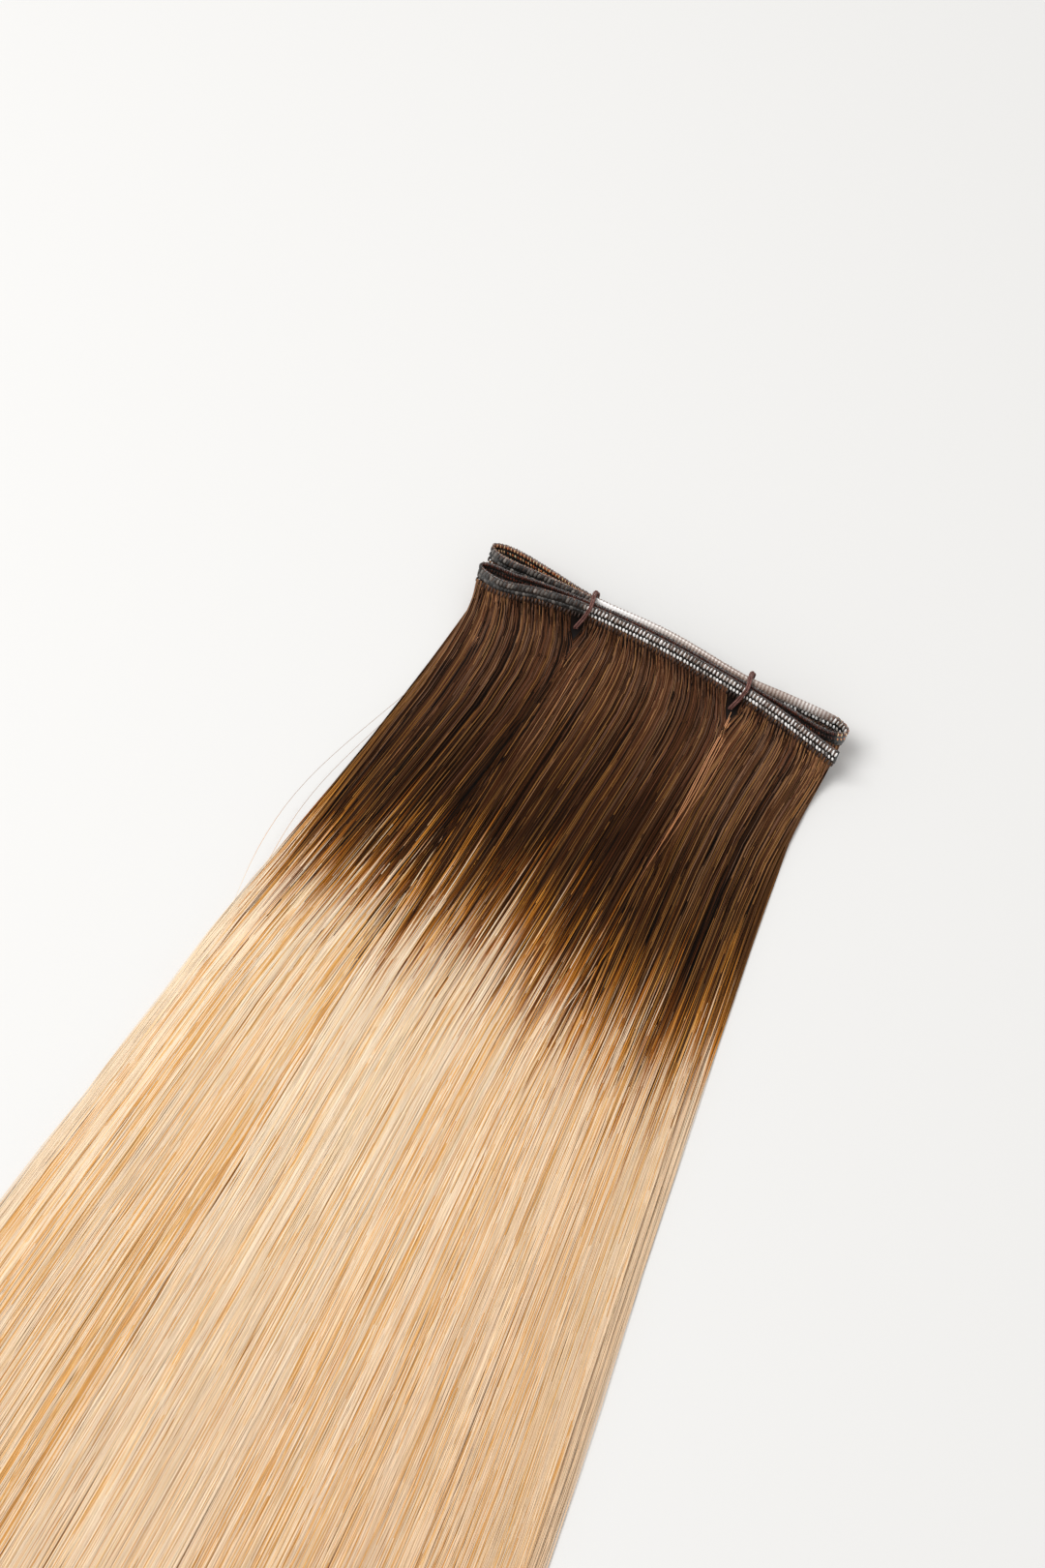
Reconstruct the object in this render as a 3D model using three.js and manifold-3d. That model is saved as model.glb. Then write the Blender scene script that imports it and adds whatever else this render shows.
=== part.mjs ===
// A machine-sewn hair weft, folded into four runs and held by two thread ties, lying on its hair.
// Millimetres, +Z up. X goes along the folded track, and the hair falls towards -Y.
// The origin is on the surface that the weft lies on, under the middle of its outline.

import Module from "manifold-3d";
import * as THREE from "three";
import { mergeVertices } from "three/addons/utils/BufferGeometryUtils.js";

const { degToRad, smoothstep } = THREE.MathUtils;

// The sewn track: a coated strip with two stitched rows and a groove between them.
const TRACK_HEIGHT = 5.3;
const TRACK_LIFT = 11;
const TRACK_TILT = degToRad(68);
const TRACK_PROFILE = [
  { rise: 0, thickness: 0.6 },
  { rise: 0.26, thickness: 0.82 },
  { rise: 0.5, thickness: 0.56 },
  { rise: 0.74, thickness: 0.82 },
  { rise: 1, thickness: 0.6 },
];
const TRACK_COLOUR = "#4a4745";
const TRACK_ROUGHNESS = 0.35;

// Where each run's lower edge passes, measured back from the middle line of the bundle,
// and how far the back run has sunk below the others.
const RUN_STATIONS = [
  { along: -58, back: 4.4, second: 0.1, third: -3.8, front: -7.8, backSink: 0 },
  { along: -44, back: 3.5, second: 0.8, third: -2.1, front: -4.4, backSink: 0.4 },
  { along: -28.5, back: 2.2, second: 1.05, third: -0.75, front: -2, backSink: 1.4 },
  { along: 0, back: 3.1, second: 1.95, third: -0.1, front: -1.4, backSink: 2 },
  { along: 29, back: 0.8, second: -0.35, third: -2.15, front: -3.4, backSink: 2 },
  { along: 44, back: 1.6, second: 0.4, third: -3.2, front: -5.4, backSink: 2.4 },
  { along: 58, back: 2, second: 0.8, third: -4.6, front: -8.2, backSink: 2.6 },
];
const FOLD_AT = 58;
const FOLD_REACH = 7.5;
const FREE_ENDS = { back: 61.3, front: 66.5 };
const RUN_STEPS = 24;
const FOLD_STEPS = 10;

// The two ties: a doubled thread round all four runs, let into the hair in front of them.
const TIE_PLACES = { thread_tie_left: -28.5, thread_tie_right: 29 };
const TIE_RADIUS = 0.85;
const TIE_STEPS = 40;
const TIE_SIDES = 8;
const TIE_COLOUR = "#5c3630";
const TIE_ROUGHNESS = 0.7;
const TIE_ROUTE = [
  { beside: "front", ahead: 1.5, aside: 0.9, height: 11.6 },
  { beside: "front", ahead: 0.5, aside: 1.7, height: 14.3 },
  { beside: "front", ahead: -1, aside: 2.3, height: 17.1 },
  { beside: "back", ahead: -1.6, aside: 1.1, height: 17.2 },
  { beside: "back", ahead: -3.2, aside: 1.5, height: 15.7 },
  { beside: "back", ahead: -3.3, aside: 1.3, height: 12.4 },
  { beside: "back", ahead: -1.9, aside: 0.8, height: 8.6 },
  { beside: "front", ahead: 0.4, aside: 0, height: 6.2 },
  { beside: "front", ahead: 2.6, aside: -0.5, height: 6.2 },
  { beside: "front", ahead: 3.6, aside: -0.7, height: 7.6 },
  { beside: "front", ahead: 2.9, aside: 0, height: 9.6 },
];

// The hair: one curtain of locks on each run, the back one lowest, each lying on the one below.
const HAIR_LENGTH = 450;
const HAIR_ROOT_HALF = 64.5;
const HAIR_ROOT_GAP = 0.3;
const LAYER_GAP = 0.3;
const CURTAINS = [
  { node: "hair_back", run: "back", inset: 3.6, locks: 6, spread: 1, crown: 0, colour: "#5a3d27" },
  { node: "hair_second", run: "second", inset: 0, locks: 6, spread: 0.99, crown: 0, colour: "#63442b" },
  { node: "hair_third", run: "third", inset: 0, locks: 6, spread: 0.98, crown: 0, colour: "#6c4b2f" },
  { node: "hair_front", run: "front", inset: 0, locks: 11, spread: 0.965, crown: 1.1, colour: "#775435" },
];
const INSET_UNTIL = 60;
const HAIR_SPREAD = [
  { past: 0, half: 64.5, middle: 0 },
  { past: 45, half: 66.5, middle: -0.4 },
  { past: 100, half: 73, middle: 1.2 },
  { past: 150, half: 80, middle: 2.2 },
  { past: 200, half: 86, middle: 4.8 },
  { past: 265, half: 94, middle: 8 },
  { past: 340, half: 99.5, middle: 11 },
  { past: 450, half: 102, middle: 14 },
];
const HAIR_THICKNESS = [
  { past: 0, thickness: 0.7 },
  { past: 24, thickness: 0.72 },
  { past: 70, thickness: 1 },
  { past: 220, thickness: 1 },
  { past: 350, thickness: 0.8 },
  { past: 450, thickness: 0.5 },
];
const HAIR_SECTIONS = [0, 4, 9, 15, 22, 45, 95, 160, 235, 315, 385, 430, 450];
const COLUMNS_PER_LOCK = 4;
const LOCK_VALLEY = 0.72;
const CROWN_FROM = 6;
const CROWN_FULL = 40;
const EDGE_FROM = 0.8;
const EDGE_THINNING = 0.55;
const TIP_NOTCH = 16;
const TIP_SPREAD = 14;
const LOCK_STRIDE = 0.618;
const LAYER_STRIDE = 0.31;

// The hair parts round each tie in a slot that narrows away from the track.
const SLOT_AT_TRACK = 3;
const SLOT_AT_END = 1.3;
const SLOT_BEHIND = 2.4;
const SLOT_AHEAD = 8.6;
const SLOT_BELOW = 1;
const SLOT_HEIGHT = 20;
const SLOT_END_SIDES = 4;

// The middle of the outline, which is set over the origin.
const OUTLINE_MIDDLE = { x: 13, y: -223.3 };

const HAIR_ROUGHNESS = 0.45;
const TRACK_UP = new THREE.Vector3(0, Math.cos(TRACK_TILT), Math.sin(TRACK_TILT));

// A smooth curve through a table's rows; slopes at the two ends may be given.
function throughRows(rows, key, value, at, firstSlope, lastSlope) {
  const last = rows.length - 1;
  const between = (i, j) => (rows[j][value] - rows[i][value]) / (rows[j][key] - rows[i][key]);
  const slope = (i) => {
    if (i === 0) return firstSlope ?? between(0, 1);
    if (i === last) return lastSlope ?? between(last - 1, last);
    return between(i - 1, i + 1);
  };
  if (at <= rows[0][key]) return rows[0][value] + slope(0) * (at - rows[0][key]);
  if (at >= rows[last][key]) return rows[last][value] + slope(last) * (at - rows[last][key]);
  const i = rows.findIndex((row) => row[key] > at) - 1;
  const span = rows[i + 1][key] - rows[i][key];
  const t = (at - rows[i][key]) / span;
  const start = rows[i][value] * (1 + 2 * t) * (1 - t) ** 2 + slope(i) * span * t * (1 - t) ** 2;
  const end = rows[i + 1][value] * (3 - 2 * t) * t * t - slope(i + 1) * span * t * t * (1 - t);
  return start + end;
}

// A run is level with X where it turns into a fold, and the back and front runs end free at the right.
function runDepth(run, along) {
  return throughRows(RUN_STATIONS, "along", run, along, 0, run in FREE_ENDS ? undefined : 0);
}

function runLift(run, along) {
  if (run !== "back") return TRACK_LIFT;
  return TRACK_LIFT - throughRows(RUN_STATIONS, "along", "backSink", along, 0);
}

function runPoints(run, from, to) {
  const points = [];
  for (let i = 0; i <= RUN_STEPS; i++) {
    const along = from + ((to - from) * i) / RUN_STEPS;
    points.push(new THREE.Vector3(along, runDepth(run, along), runLift(run, along)));
  }
  return points;
}

function foldPoints(side, fromRun, toRun) {
  const from = runDepth(fromRun, side * FOLD_AT);
  const to = runDepth(toRun, side * FOLD_AT);
  const points = [];
  for (let i = 1; i < FOLD_STEPS; i++) {
    const turn = (Math.PI * i) / FOLD_STEPS;
    const along = side * (FOLD_AT + FOLD_REACH * Math.sin(turn));
    points.push(new THREE.Vector3(along, (from + to) / 2 + ((from - to) / 2) * Math.cos(turn), TRACK_LIFT));
  }
  return points;
}

// The track's way from its free end at the back to its free end at the front.
function trackPath() {
  return [
    ...runPoints("back", FREE_ENDS.back, -FOLD_AT),
    ...foldPoints(-1, "back", "second"),
    ...runPoints("second", -FOLD_AT, FOLD_AT),
    ...foldPoints(1, "second", "third"),
    ...runPoints("third", FOLD_AT, -FOLD_AT),
    ...foldPoints(-1, "third", "front"),
    ...runPoints("front", -FOLD_AT, FREE_ENDS.front),
  ];
}

function geometryOf(points, triangles) {
  const geometry = new THREE.BufferGeometry();
  geometry.setAttribute("position", new THREE.Float32BufferAttribute(points.flatMap((p) => p.toArray()), 3));
  geometry.setIndex(triangles.flat());
  geometry.computeVertexNormals();
  return geometry;
}

// One section of the track: up its right face and down its left face.
function trackSection(place, across) {
  const face = (side) => (row) =>
    place
      .clone()
      .addScaledVector(across, (side * row.thickness) / 2)
      .addScaledVector(TRACK_UP, row.rise * TRACK_HEIGHT);
  return [...TRACK_PROFILE.map(face(-1)), ...TRACK_PROFILE.toReversed().map(face(1))];
}

function trackGeometry() {
  const path = trackPath();
  const count = 2 * TRACK_PROFILE.length;
  const points = path.flatMap((place, i) => {
    const ahead = path[Math.min(i + 1, path.length - 1)];
    const behind = path[Math.max(i - 1, 0)];
    const way = ahead.clone().sub(behind);
    return trackSection(place, new THREE.Vector3(-way.y, way.x, 0).normalize());
  });
  const triangles = [];
  for (let i = 0; i + 1 < path.length; i++) {
    for (let j = 0; j < count; j++) {
      const near = i * count + j;
      const nearNext = i * count + ((j + 1) % count);
      triangles.push([near, near + count, nearNext], [nearNext, near + count, nearNext + count]);
    }
  }
  const lastRing = (path.length - 1) * count;
  for (let j = 0; j + 1 < TRACK_PROFILE.length; j++) {
    const opposite = count - 1 - j;
    triangles.push([j, j + 1, opposite], [j + 1, opposite - 1, opposite]);
    const end = [j, opposite, j + 1, opposite - 1].map((k) => lastRing + k);
    triangles.push([end[0], end[1], end[2]], [end[2], end[1], end[3]]);
  }
  return geometryOf(points, triangles);
}

function tieGeometry(along) {
  const points = TIE_ROUTE.map(
    (row) => new THREE.Vector3(along + row.aside, runDepth(row.beside, along) - row.ahead, row.height),
  );
  const ring = new THREE.CatmullRomCurve3(points, true);
  return new THREE.TubeGeometry(ring, TIE_STEPS, TIE_RADIUS, TIE_SIDES, true);
}

// A repeatable unevenness from 0 to 1, so that the lock ends don't line up.
function uneven(lock, layer) {
  const step = lock * LOCK_STRIDE + layer * LAYER_STRIDE;
  return step - Math.floor(step);
}

// How a hair falls: round a bend from the track's tilt until it lies level on the layer below.
function hairFall(past, drop) {
  const radius = drop / (1 - Math.cos(TRACK_TILT));
  const bend = radius * TRACK_TILT;
  const lean = Math.max(0, TRACK_TILT - past / radius);
  return {
    lean,
    ahead: radius * (Math.sin(TRACK_TILT) - Math.sin(lean)) + Math.max(0, past - bend),
    fallen: radius * (Math.cos(lean) - Math.cos(TRACK_TILT)),
  };
}

function curtainGeometry(curtain, layer) {
  const columns = curtain.locks * COLUMNS_PER_LOCK;
  const upper = [];
  const under = [];
  for (let column = 0; column <= columns; column++) {
    const share = (2 * column) / columns - 1;
    const lockPlace = column / COLUMNS_PER_LOCK;
    const ridge = Math.sin(Math.PI * (lockPlace % 1));
    const edge = 1 - EDGE_THINNING * smoothstep(Math.abs(share), EDGE_FROM, 1);
    const shorter = TIP_SPREAD * uneven(Math.floor(lockPlace), layer) + TIP_NOTCH * (1 - ridge);
    const inset = (curtain.inset * (1 + share)) / 2;
    const rootAlong = share * HAIR_ROOT_HALF - inset;
    const rootDepth = runDepth(curtain.run, rootAlong);
    const rootHeight = runLift(curtain.run, rootAlong) - HAIR_ROOT_GAP;
    for (const section of HAIR_SECTIONS) {
      const past = section * (1 - shorter / HAIR_LENGTH);
      const sheet = throughRows(HAIR_THICKNESS, "past", "thickness", past) * edge;
      const bed = layer === 0 ? 0 : layer * (sheet + LAYER_GAP);
      const nearBed = layer === 0 ? 0 : layer * (HAIR_THICKNESS[0].thickness * edge + LAYER_GAP);
      const fall = hairFall(past, rootHeight - nearBed);
      const half = throughRows(HAIR_SPREAD, "past", "half", fall.ahead);
      const middle = throughRows(HAIR_SPREAD, "past", "middle", fall.ahead);
      const widened = 1 + (curtain.spread - 1) * smoothstep(past, 0, CROWN_FULL);
      const low = new THREE.Vector3(
        middle + share * half * widened - inset * (1 - smoothstep(past, 0, INSET_UNTIL)),
        rootDepth - fall.ahead,
        rootHeight - fall.fallen + bed - nearBed,
      );
      const crown = curtain.crown * ridge * smoothstep(past, CROWN_FROM, CROWN_FULL);
      const thickness = sheet * (LOCK_VALLEY + (1 - LOCK_VALLEY) * ridge + crown);
      const outward = new THREE.Vector3(0, -Math.sin(fall.lean), Math.cos(fall.lean));
      under.push(low);
      upper.push(low.clone().addScaledVector(outward, thickness));
    }
  }
  return sheetGeometry(upper, under, columns + 1, HAIR_SECTIONS.length);
}

// A closed sheet from two grids of points, column by column.
function sheetGeometry(upper, under, columns, rows) {
  const triangles = [];
  const lift = upper.length;
  const at = (column, row) => column * rows + row;
  const wall = (from, to) => {
    triangles.push([to, from, from + lift], [to, from + lift, to + lift]);
  };
  for (let i = 0; i + 1 < columns; i++) {
    for (let j = 0; j + 1 < rows; j++) {
      const [a, b, c, d] = [at(i, j), at(i, j + 1), at(i + 1, j), at(i + 1, j + 1)];
      triangles.push([a, b, c], [c, b, d]);
      triangles.push([a + lift, c + lift, b + lift], [c + lift, d + lift, b + lift]);
    }
  }
  for (let i = 0; i + 1 < columns; i++) {
    wall(at(i + 1, 0), at(i, 0));
    wall(at(i, rows - 1), at(i + 1, rows - 1));
  }
  for (let j = 0; j + 1 < rows; j++) {
    wall(at(0, j), at(0, j + 1));
    wall(at(columns - 1, j + 1), at(columns - 1, j));
  }
  return geometryOf([...upper, ...under], triangles);
}

// A slot's outline from above, straight down through every layer of hair.
function slotGeometry(along) {
  const from = runDepth("back", along) + SLOT_BEHIND;
  const to = runDepth("front", along) - SLOT_AHEAD;
  const outline = new THREE.Shape();
  outline.moveTo(along - SLOT_AT_TRACK, from);
  outline.lineTo(along - SLOT_AT_END, to);
  outline.absarc(along, to, SLOT_AT_END, Math.PI, 2 * Math.PI);
  outline.lineTo(along + SLOT_AT_TRACK, from);
  const slot = new THREE.ExtrudeGeometry(outline, {
    depth: SLOT_HEIGHT + SLOT_BELOW,
    bevelEnabled: false,
    curveSegments: SLOT_END_SIDES,
  });
  return slot.translate(0, 0, -SLOT_BELOW);
}

function solidOf(geometry) {
  const bare = geometry.clone();
  bare.deleteAttribute("normal");
  bare.deleteAttribute("uv");
  const merged = mergeVertices(bare);
  const vertProperties = merged.attributes.position.array;
  return new wasm.Manifold(new wasm.Mesh({ numProp: 3, vertProperties, triVerts: merged.index.array }));
}

function cutSlots(geometry) {
  let solid = solidOf(geometry);
  for (const along of Object.values(TIE_PLACES)) solid = solid.subtract(solidOf(slotGeometry(along)));
  const { vertProperties, triVerts } = solid.getMesh();
  const cut = new THREE.BufferGeometry();
  cut.setAttribute("position", new THREE.BufferAttribute(vertProperties, 3));
  cut.setIndex(new THREE.BufferAttribute(triVerts, 1));
  cut.computeVertexNormals();
  return cut;
}

function piece(name, geometry, colour, roughness) {
  const mesh = new THREE.Mesh(geometry, new THREE.MeshStandardMaterial({ color: colour, roughness }));
  mesh.name = name;
  return mesh;
}

const wasm = await Module();
wasm.setup();

const bundle = new THREE.Group();
bundle.position.set(-OUTLINE_MIDDLE.x, -OUTLINE_MIDDLE.y, 0);
bundle.add(piece("weft_band", trackGeometry(), TRACK_COLOUR, TRACK_ROUGHNESS));
CURTAINS.forEach((curtain, layer) => {
  const hair = cutSlots(curtainGeometry(curtain, layer));
  bundle.add(piece(curtain.node, hair, curtain.colour, HAIR_ROUGHNESS));
});
for (const [name, along] of Object.entries(TIE_PLACES)) {
  bundle.add(piece(name, tieGeometry(along), TIE_COLOUR, TIE_ROUGHNESS));
}

const weft = new THREE.Group();
weft.add(bundle);

export default weft;
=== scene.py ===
"""Dresses a folded and tied hair weft around its solids: the sewn track, the thread ties and the hair."""

import math

import bmesh
import bpy
import numpy as np
from bpy.props import FloatProperty, FloatVectorProperty, IntProperty, PointerProperty
from mathutils import Matrix, Vector


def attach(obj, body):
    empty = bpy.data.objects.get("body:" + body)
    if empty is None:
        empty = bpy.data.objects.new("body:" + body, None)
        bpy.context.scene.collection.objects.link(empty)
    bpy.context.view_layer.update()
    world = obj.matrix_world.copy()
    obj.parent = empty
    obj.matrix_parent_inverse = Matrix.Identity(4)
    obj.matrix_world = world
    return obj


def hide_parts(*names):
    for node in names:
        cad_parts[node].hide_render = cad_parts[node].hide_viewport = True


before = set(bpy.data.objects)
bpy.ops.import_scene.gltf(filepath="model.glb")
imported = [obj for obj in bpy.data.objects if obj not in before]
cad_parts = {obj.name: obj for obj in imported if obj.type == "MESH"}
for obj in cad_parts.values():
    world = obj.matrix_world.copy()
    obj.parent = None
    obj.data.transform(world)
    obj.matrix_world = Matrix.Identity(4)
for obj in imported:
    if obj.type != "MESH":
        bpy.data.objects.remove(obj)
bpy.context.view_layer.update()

bl_info = {
    "name": "Hair Weft",
    "version": (1, 0, 0),
    "blender": (4, 5, 0),
    "location": "View3D > Sidebar > Hair Weft",
    "description": "Dresses a folded and tied hair weft: its sewn track, thread ties and strands of hair",
    "category": "Object",
}


def table(columns, *rows):
    """Rows of a table, each with its columns by name."""
    return [dict(zip(columns.split(), row)) for row in rows]


# Lengths below are in millimetres, from the middle line of the folded bundle; the hair falls towards -Y.
MM = 0.001
OUTLINE_MIDDLE = np.array([13.0, -223.3, 0.0])
BODY = "root"
PATTERN_MAP = "OFBake"

# The sewn track: its section, and how far back each run of it passes.
STITCH_PITCH = 1.25
TRACK_HEIGHT = 5.3
TRACK_LIFT = 11.0
TRACK_TILT = math.radians(68)
TRACK_UP = np.array([0.0, math.cos(TRACK_TILT), math.sin(TRACK_TILT)])
TRACK_PROFILE = table(
    "rise thickness",
    (0.0, 0.6),
    (0.26, 0.82),
    (0.5, 0.56),
    (0.74, 0.82),
    (1.0, 0.6),
)
RUN_STATIONS = table(
    "along back second third front back_sink",
    (-58, 4.4, 0.1, -3.8, -7.8, 0),
    (-44, 3.5, 0.8, -2.1, -4.4, 0.4),
    (-28.5, 2.2, 1.05, -0.75, -2, 1.4),
    (0, 3.1, 1.95, -0.1, -1.4, 2),
    (29, 0.8, -0.35, -2.15, -3.4, 2),
    (44, 1.6, 0.4, -3.2, -5.4, 2.4),
    (58, 2, 0.8, -4.6, -8.2, 2.6),
)
FOLD_AT = 58.0
FOLD_REACH = 7.5
FREE_ENDS = {"back": 61.3, "front": 66.5}

# The two ties, and the way that a tie's thread goes round the runs.
TIE_PLACES = {"thread_tie_left": -28.5, "thread_tie_right": 29.0}
TIE_ROUTE = table(
    "beside ahead aside height",
    ("front", 1.5, 0.9, 11.6),
    ("front", 0.5, 1.7, 14.3),
    ("front", -1, 2.3, 17.1),
    ("back", -1.6, 1.1, 17.2),
    ("back", -3.2, 1.5, 15.7),
    ("back", -3.3, 1.3, 12.4),
    ("back", -1.9, 0.8, 8.6),
    ("front", 0.4, 0, 6.2),
    ("front", 2.6, -0.5, 6.2),
    ("front", 3.6, -0.7, 7.6),
    ("front", 2.9, 0, 9.6),
)

# The hair: one curtain on each run of the track. Inset is how far its roots stop short at the right, spread
# and crown are its share of the width and the swell of its locks, splay is how far its edge hairs stray, and
# edges is the share of its wisps that are close to its two edges.
HAIR_LENGTH = 450.0
HAIR_ROOT_HALF = 64.5
HAIR_ROOT_GAP = 0.3
LAYER_GAP = 0.3
FRONT = "hair_front"
CURTAINS = table(
    "node run inset locks spread crown splay wisps edges pieces",
    ("hair_back", "back", 3.6, 6, 1.0, 0.0, 0.6, 130, 0.8, 1),
    ("hair_second", "second", 0.0, 6, 0.99, 0.0, 0.55, 130, 0.8, 1),
    ("hair_third", "third", 0.0, 6, 0.98, 0.0, 0.5, 130, 0.8, 1),
    (FRONT, "front", 0.0, 11, 0.965, 1.1, 0.45, 420, 0.04, 4),
)
INSET_UNTIL = 60.0
HAIR_SPREAD = table(
    "past half middle",
    (0, 64.5, 0),
    (45, 66.5, -0.4),
    (100, 73, 1.2),
    (150, 80, 2.2),
    (200, 86, 4.8),
    (265, 94, 8),
    (340, 99.5, 11),
    (450, 102, 14),
)
HAIR_THICKNESS = table(
    "past thickness",
    (0, 0.7),
    (24, 0.72),
    (70, 1.0),
    (220, 1.0),
    (350, 0.8),
    (450, 0.5),
)
LOCK_VALLEY = 0.72
LOCK_RELIEF = 0.3
LAST_LOCK = 0.99999
CROWN_FROM = 6.0
CROWN_FULL = 40.0
EDGE_FROM = 0.8
EDGE_THINNING = 0.55
TIP_NOTCH = 16.0
TIP_SPREAD = 14.0
LOCK_STRIDE = 0.618
LAYER_STRIDE = 0.31


def smoothstep(value, low, high):
    share = np.clip((np.asarray(value, float) - low) / (high - low), 0, 1)
    return share * share * (3 - 2 * share)


def smooth_table(rows, key, column, at, first_slope=None, last_slope=None):
    """A smooth curve through one column of a table, straight on past both ends."""
    keys = np.array([row[key] for row in rows], float)
    values = np.array([row[column] for row in rows], float)
    steps = np.diff(values) / np.diff(keys)
    slopes = np.empty_like(values)
    slopes[1:-1] = (values[2:] - values[:-2]) / (keys[2:] - keys[:-2])
    slopes[0] = steps[0] if first_slope is None else first_slope
    slopes[-1] = steps[-1] if last_slope is None else last_slope
    at = np.asarray(at, float)
    i = np.clip(np.searchsorted(keys, at, side="right") - 1, 0, len(keys) - 2)
    span = keys[i + 1] - keys[i]
    t = (at - keys[i]) / span
    start = values[i] * (1 + 2 * t) * (1 - t) ** 2 + slopes[i] * span * t * (1 - t) ** 2
    end = values[i + 1] * (3 - 2 * t) * t * t - slopes[i + 1] * span * t * t * (1 - t)
    before = values[0] + slopes[0] * (at - keys[0])
    after = values[-1] + slopes[-1] * (at - keys[-1])
    return np.where(at < keys[0], before, np.where(at > keys[-1], after, start + end))


def straight_table(rows, key, column, at):
    """Straight lines from row to row through one column of a table."""
    return np.interp(at, [row[key] for row in rows], [row[column] for row in rows])


def run_depth(run, along):
    """Where a run's lower edge passes, back from the middle line."""
    return smooth_table(RUN_STATIONS, "along", run, along, 0, None if run in FREE_ENDS else 0)


def run_lift(run, along):
    """How high a run's lower edge is above the surface that the weft lies on."""
    if run != "back":
        return np.full_like(np.asarray(along, float), TRACK_LIFT)
    return TRACK_LIFT - smooth_table(RUN_STATIONS, "along", "back_sink", along, 0)


def in_frame(points):
    """Points in millimetres of the bundle, as metres in the part's own frame."""
    return (np.asarray(points, float) - OUTLINE_MIDDLE) * MM


def unit(vectors):
    return vectors / np.linalg.norm(vectors, axis=-1, keepdims=True)


def linear(code):
    """An sRGB hex colour as linear red, green and blue."""
    srgb = [int(code[i : i + 2], 16) / 255 for i in (1, 3, 5)]
    return tuple(c / 12.92 if c <= 0.04045 else ((c + 0.055) / 1.055) ** 2.4 for c in srgb)


def opaque(colour):
    return (*colour, 1.0)


def mixed(colour, other, share):
    return tuple(a + (b - a) * share for a, b in zip(colour, other))


# Settings


def length_property(name, millimetres, description):
    return FloatProperty(
        name=name, description=description, default=millimetres * MM, unit="LENGTH", precision=5
    )


def colour_property(name, code, description):
    return FloatVectorProperty(
        name=name, description=description, default=linear(code), subtype="COLOR", size=3
    )


def angle_property(name, degrees, description):
    return FloatProperty(
        name=name, description=description, default=math.radians(degrees), subtype="ANGLE"
    )


class WeftTrackSettings(bpy.types.PropertyGroup):
    """Sizes and colours of the sewn track"""

    stitch_pitch: length_property("Stitch pitch", STITCH_PITCH, "Distance from one stitch to the next")
    coat_colour: colour_property("Coat", "#1f1e1d", "Dark coating in the groove and between the stitches")
    bead_colour: colour_property("Coated stitch", "#bbb3ac", "Coated stitches on the face that shows")
    edge_colour: colour_property("Edge stitch", "#6a4a3a", "Brown thread wound over the track's upper edge")
    copper_colour: colour_property("Reverse stitch", "#c4682c", "Copper thread on the reverse")
    cream_colour: colour_property("Reverse loop", "#e8cfa2", "Pale loops on the reverse")


class WeftTieSettings(bpy.types.PropertyGroup):
    """Sizes and colour of the thread ties"""

    thread_width: length_property("Thread", 0.76, "Thickness of one of a tie's two threads")
    ply_pitch: length_property("Twist", 2.4, "Length of one full twist of the thread")
    thread_colour: colour_property("Thread colour", "#5e3830", "Reddish brown sewing thread")


class WeftHairSettings(bpy.types.PropertyGroup):
    """Lengths, strand counts and colours of the hair"""

    strand_width: length_property("Strand", 0.25, "Thickness of a drawn strand, which stands for a few hairs")
    dark_length: length_property("Dark root", 93.5, "Length of the dark root before it fades")
    fade_length: length_property("Fade", 39.0, "Length over which dark root turns to blonde")
    front_strands: IntProperty(
        name="Front strands", description="Strands of the front curtain", default=4400, min=1
    )
    inner_strands: IntProperty(
        name="Inner strands", description="Strands of each curtain behind the front one", default=350, min=1
    )
    root_colour: colour_property("Root", "#341c0b", "Dark brown at the root")
    blonde_colour: colour_property("Length", "#fae5c9", "Honey blonde along the length")


class WeftStageSettings(bpy.types.PropertyGroup):
    """Floor, light and camera"""

    floor_colour: colour_property("Floor", "#dedddb", "Plain pale floor")
    azimuth: angle_property("Azimuth", 29.275, "Turn of the camera about the upright")
    elevation: angle_property("Elevation", 66, "Height of the camera above the floor")
    distance: length_property("Distance", 697.6, "From the camera to the point that it looks at")
    lens: FloatProperty(name="Lens", description="Focal length on a 36 mm sensor", default=50, unit="CAMERA")


SETTINGS = {
    "weft_track": WeftTrackSettings,
    "weft_tie": WeftTieSettings,
    "weft_hair": WeftHairSettings,
    "weft_stage": WeftStageSettings,
}


# Making meshes


# A tube's corners are set out from this way, a little off the way that the hair leaves the track.
TUBE_UPRIGHT = (0.0, 0.31, 0.95)
# How high a tube's flat end is in the pattern map, and how far a ball goes there from its middle.
CAP_MAP_HEIGHT = 0.002
BALL_MAP_HALF = 0.45


def mesh_from_arrays(points, faces):
    """A mesh from points in metres and groups of (corners, uv), each with one number of corners a face."""
    mesh = bpy.data.meshes.new("piece")
    mesh.vertices.add(len(points))
    mesh.vertices.foreach_set("co", np.asarray(points, np.float32).ravel())
    corners = np.concatenate([group.ravel() for group, _ in faces])
    sizes = np.concatenate([np.full(len(group), group.shape[1]) for group, _ in faces])
    starts = np.concatenate([[0], np.cumsum(sizes)[:-1]])
    uv = np.concatenate([uv.reshape(-1, 2) for _, uv in faces])
    mesh.loops.add(len(corners))
    mesh.loops.foreach_set("vertex_index", corners.astype(np.int32))
    mesh.polygons.add(len(sizes))
    mesh.polygons.foreach_set("loop_start", starts.astype(np.int32))
    mesh.polygons.foreach_set("use_smooth", np.ones(len(sizes), bool))
    layer = mesh.uv_layers.new(name=PATTERN_MAP)
    layer.data.foreach_set("uv", uv.astype(np.float32).ravel())
    mesh.update(calc_edges=True)
    return mesh


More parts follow.
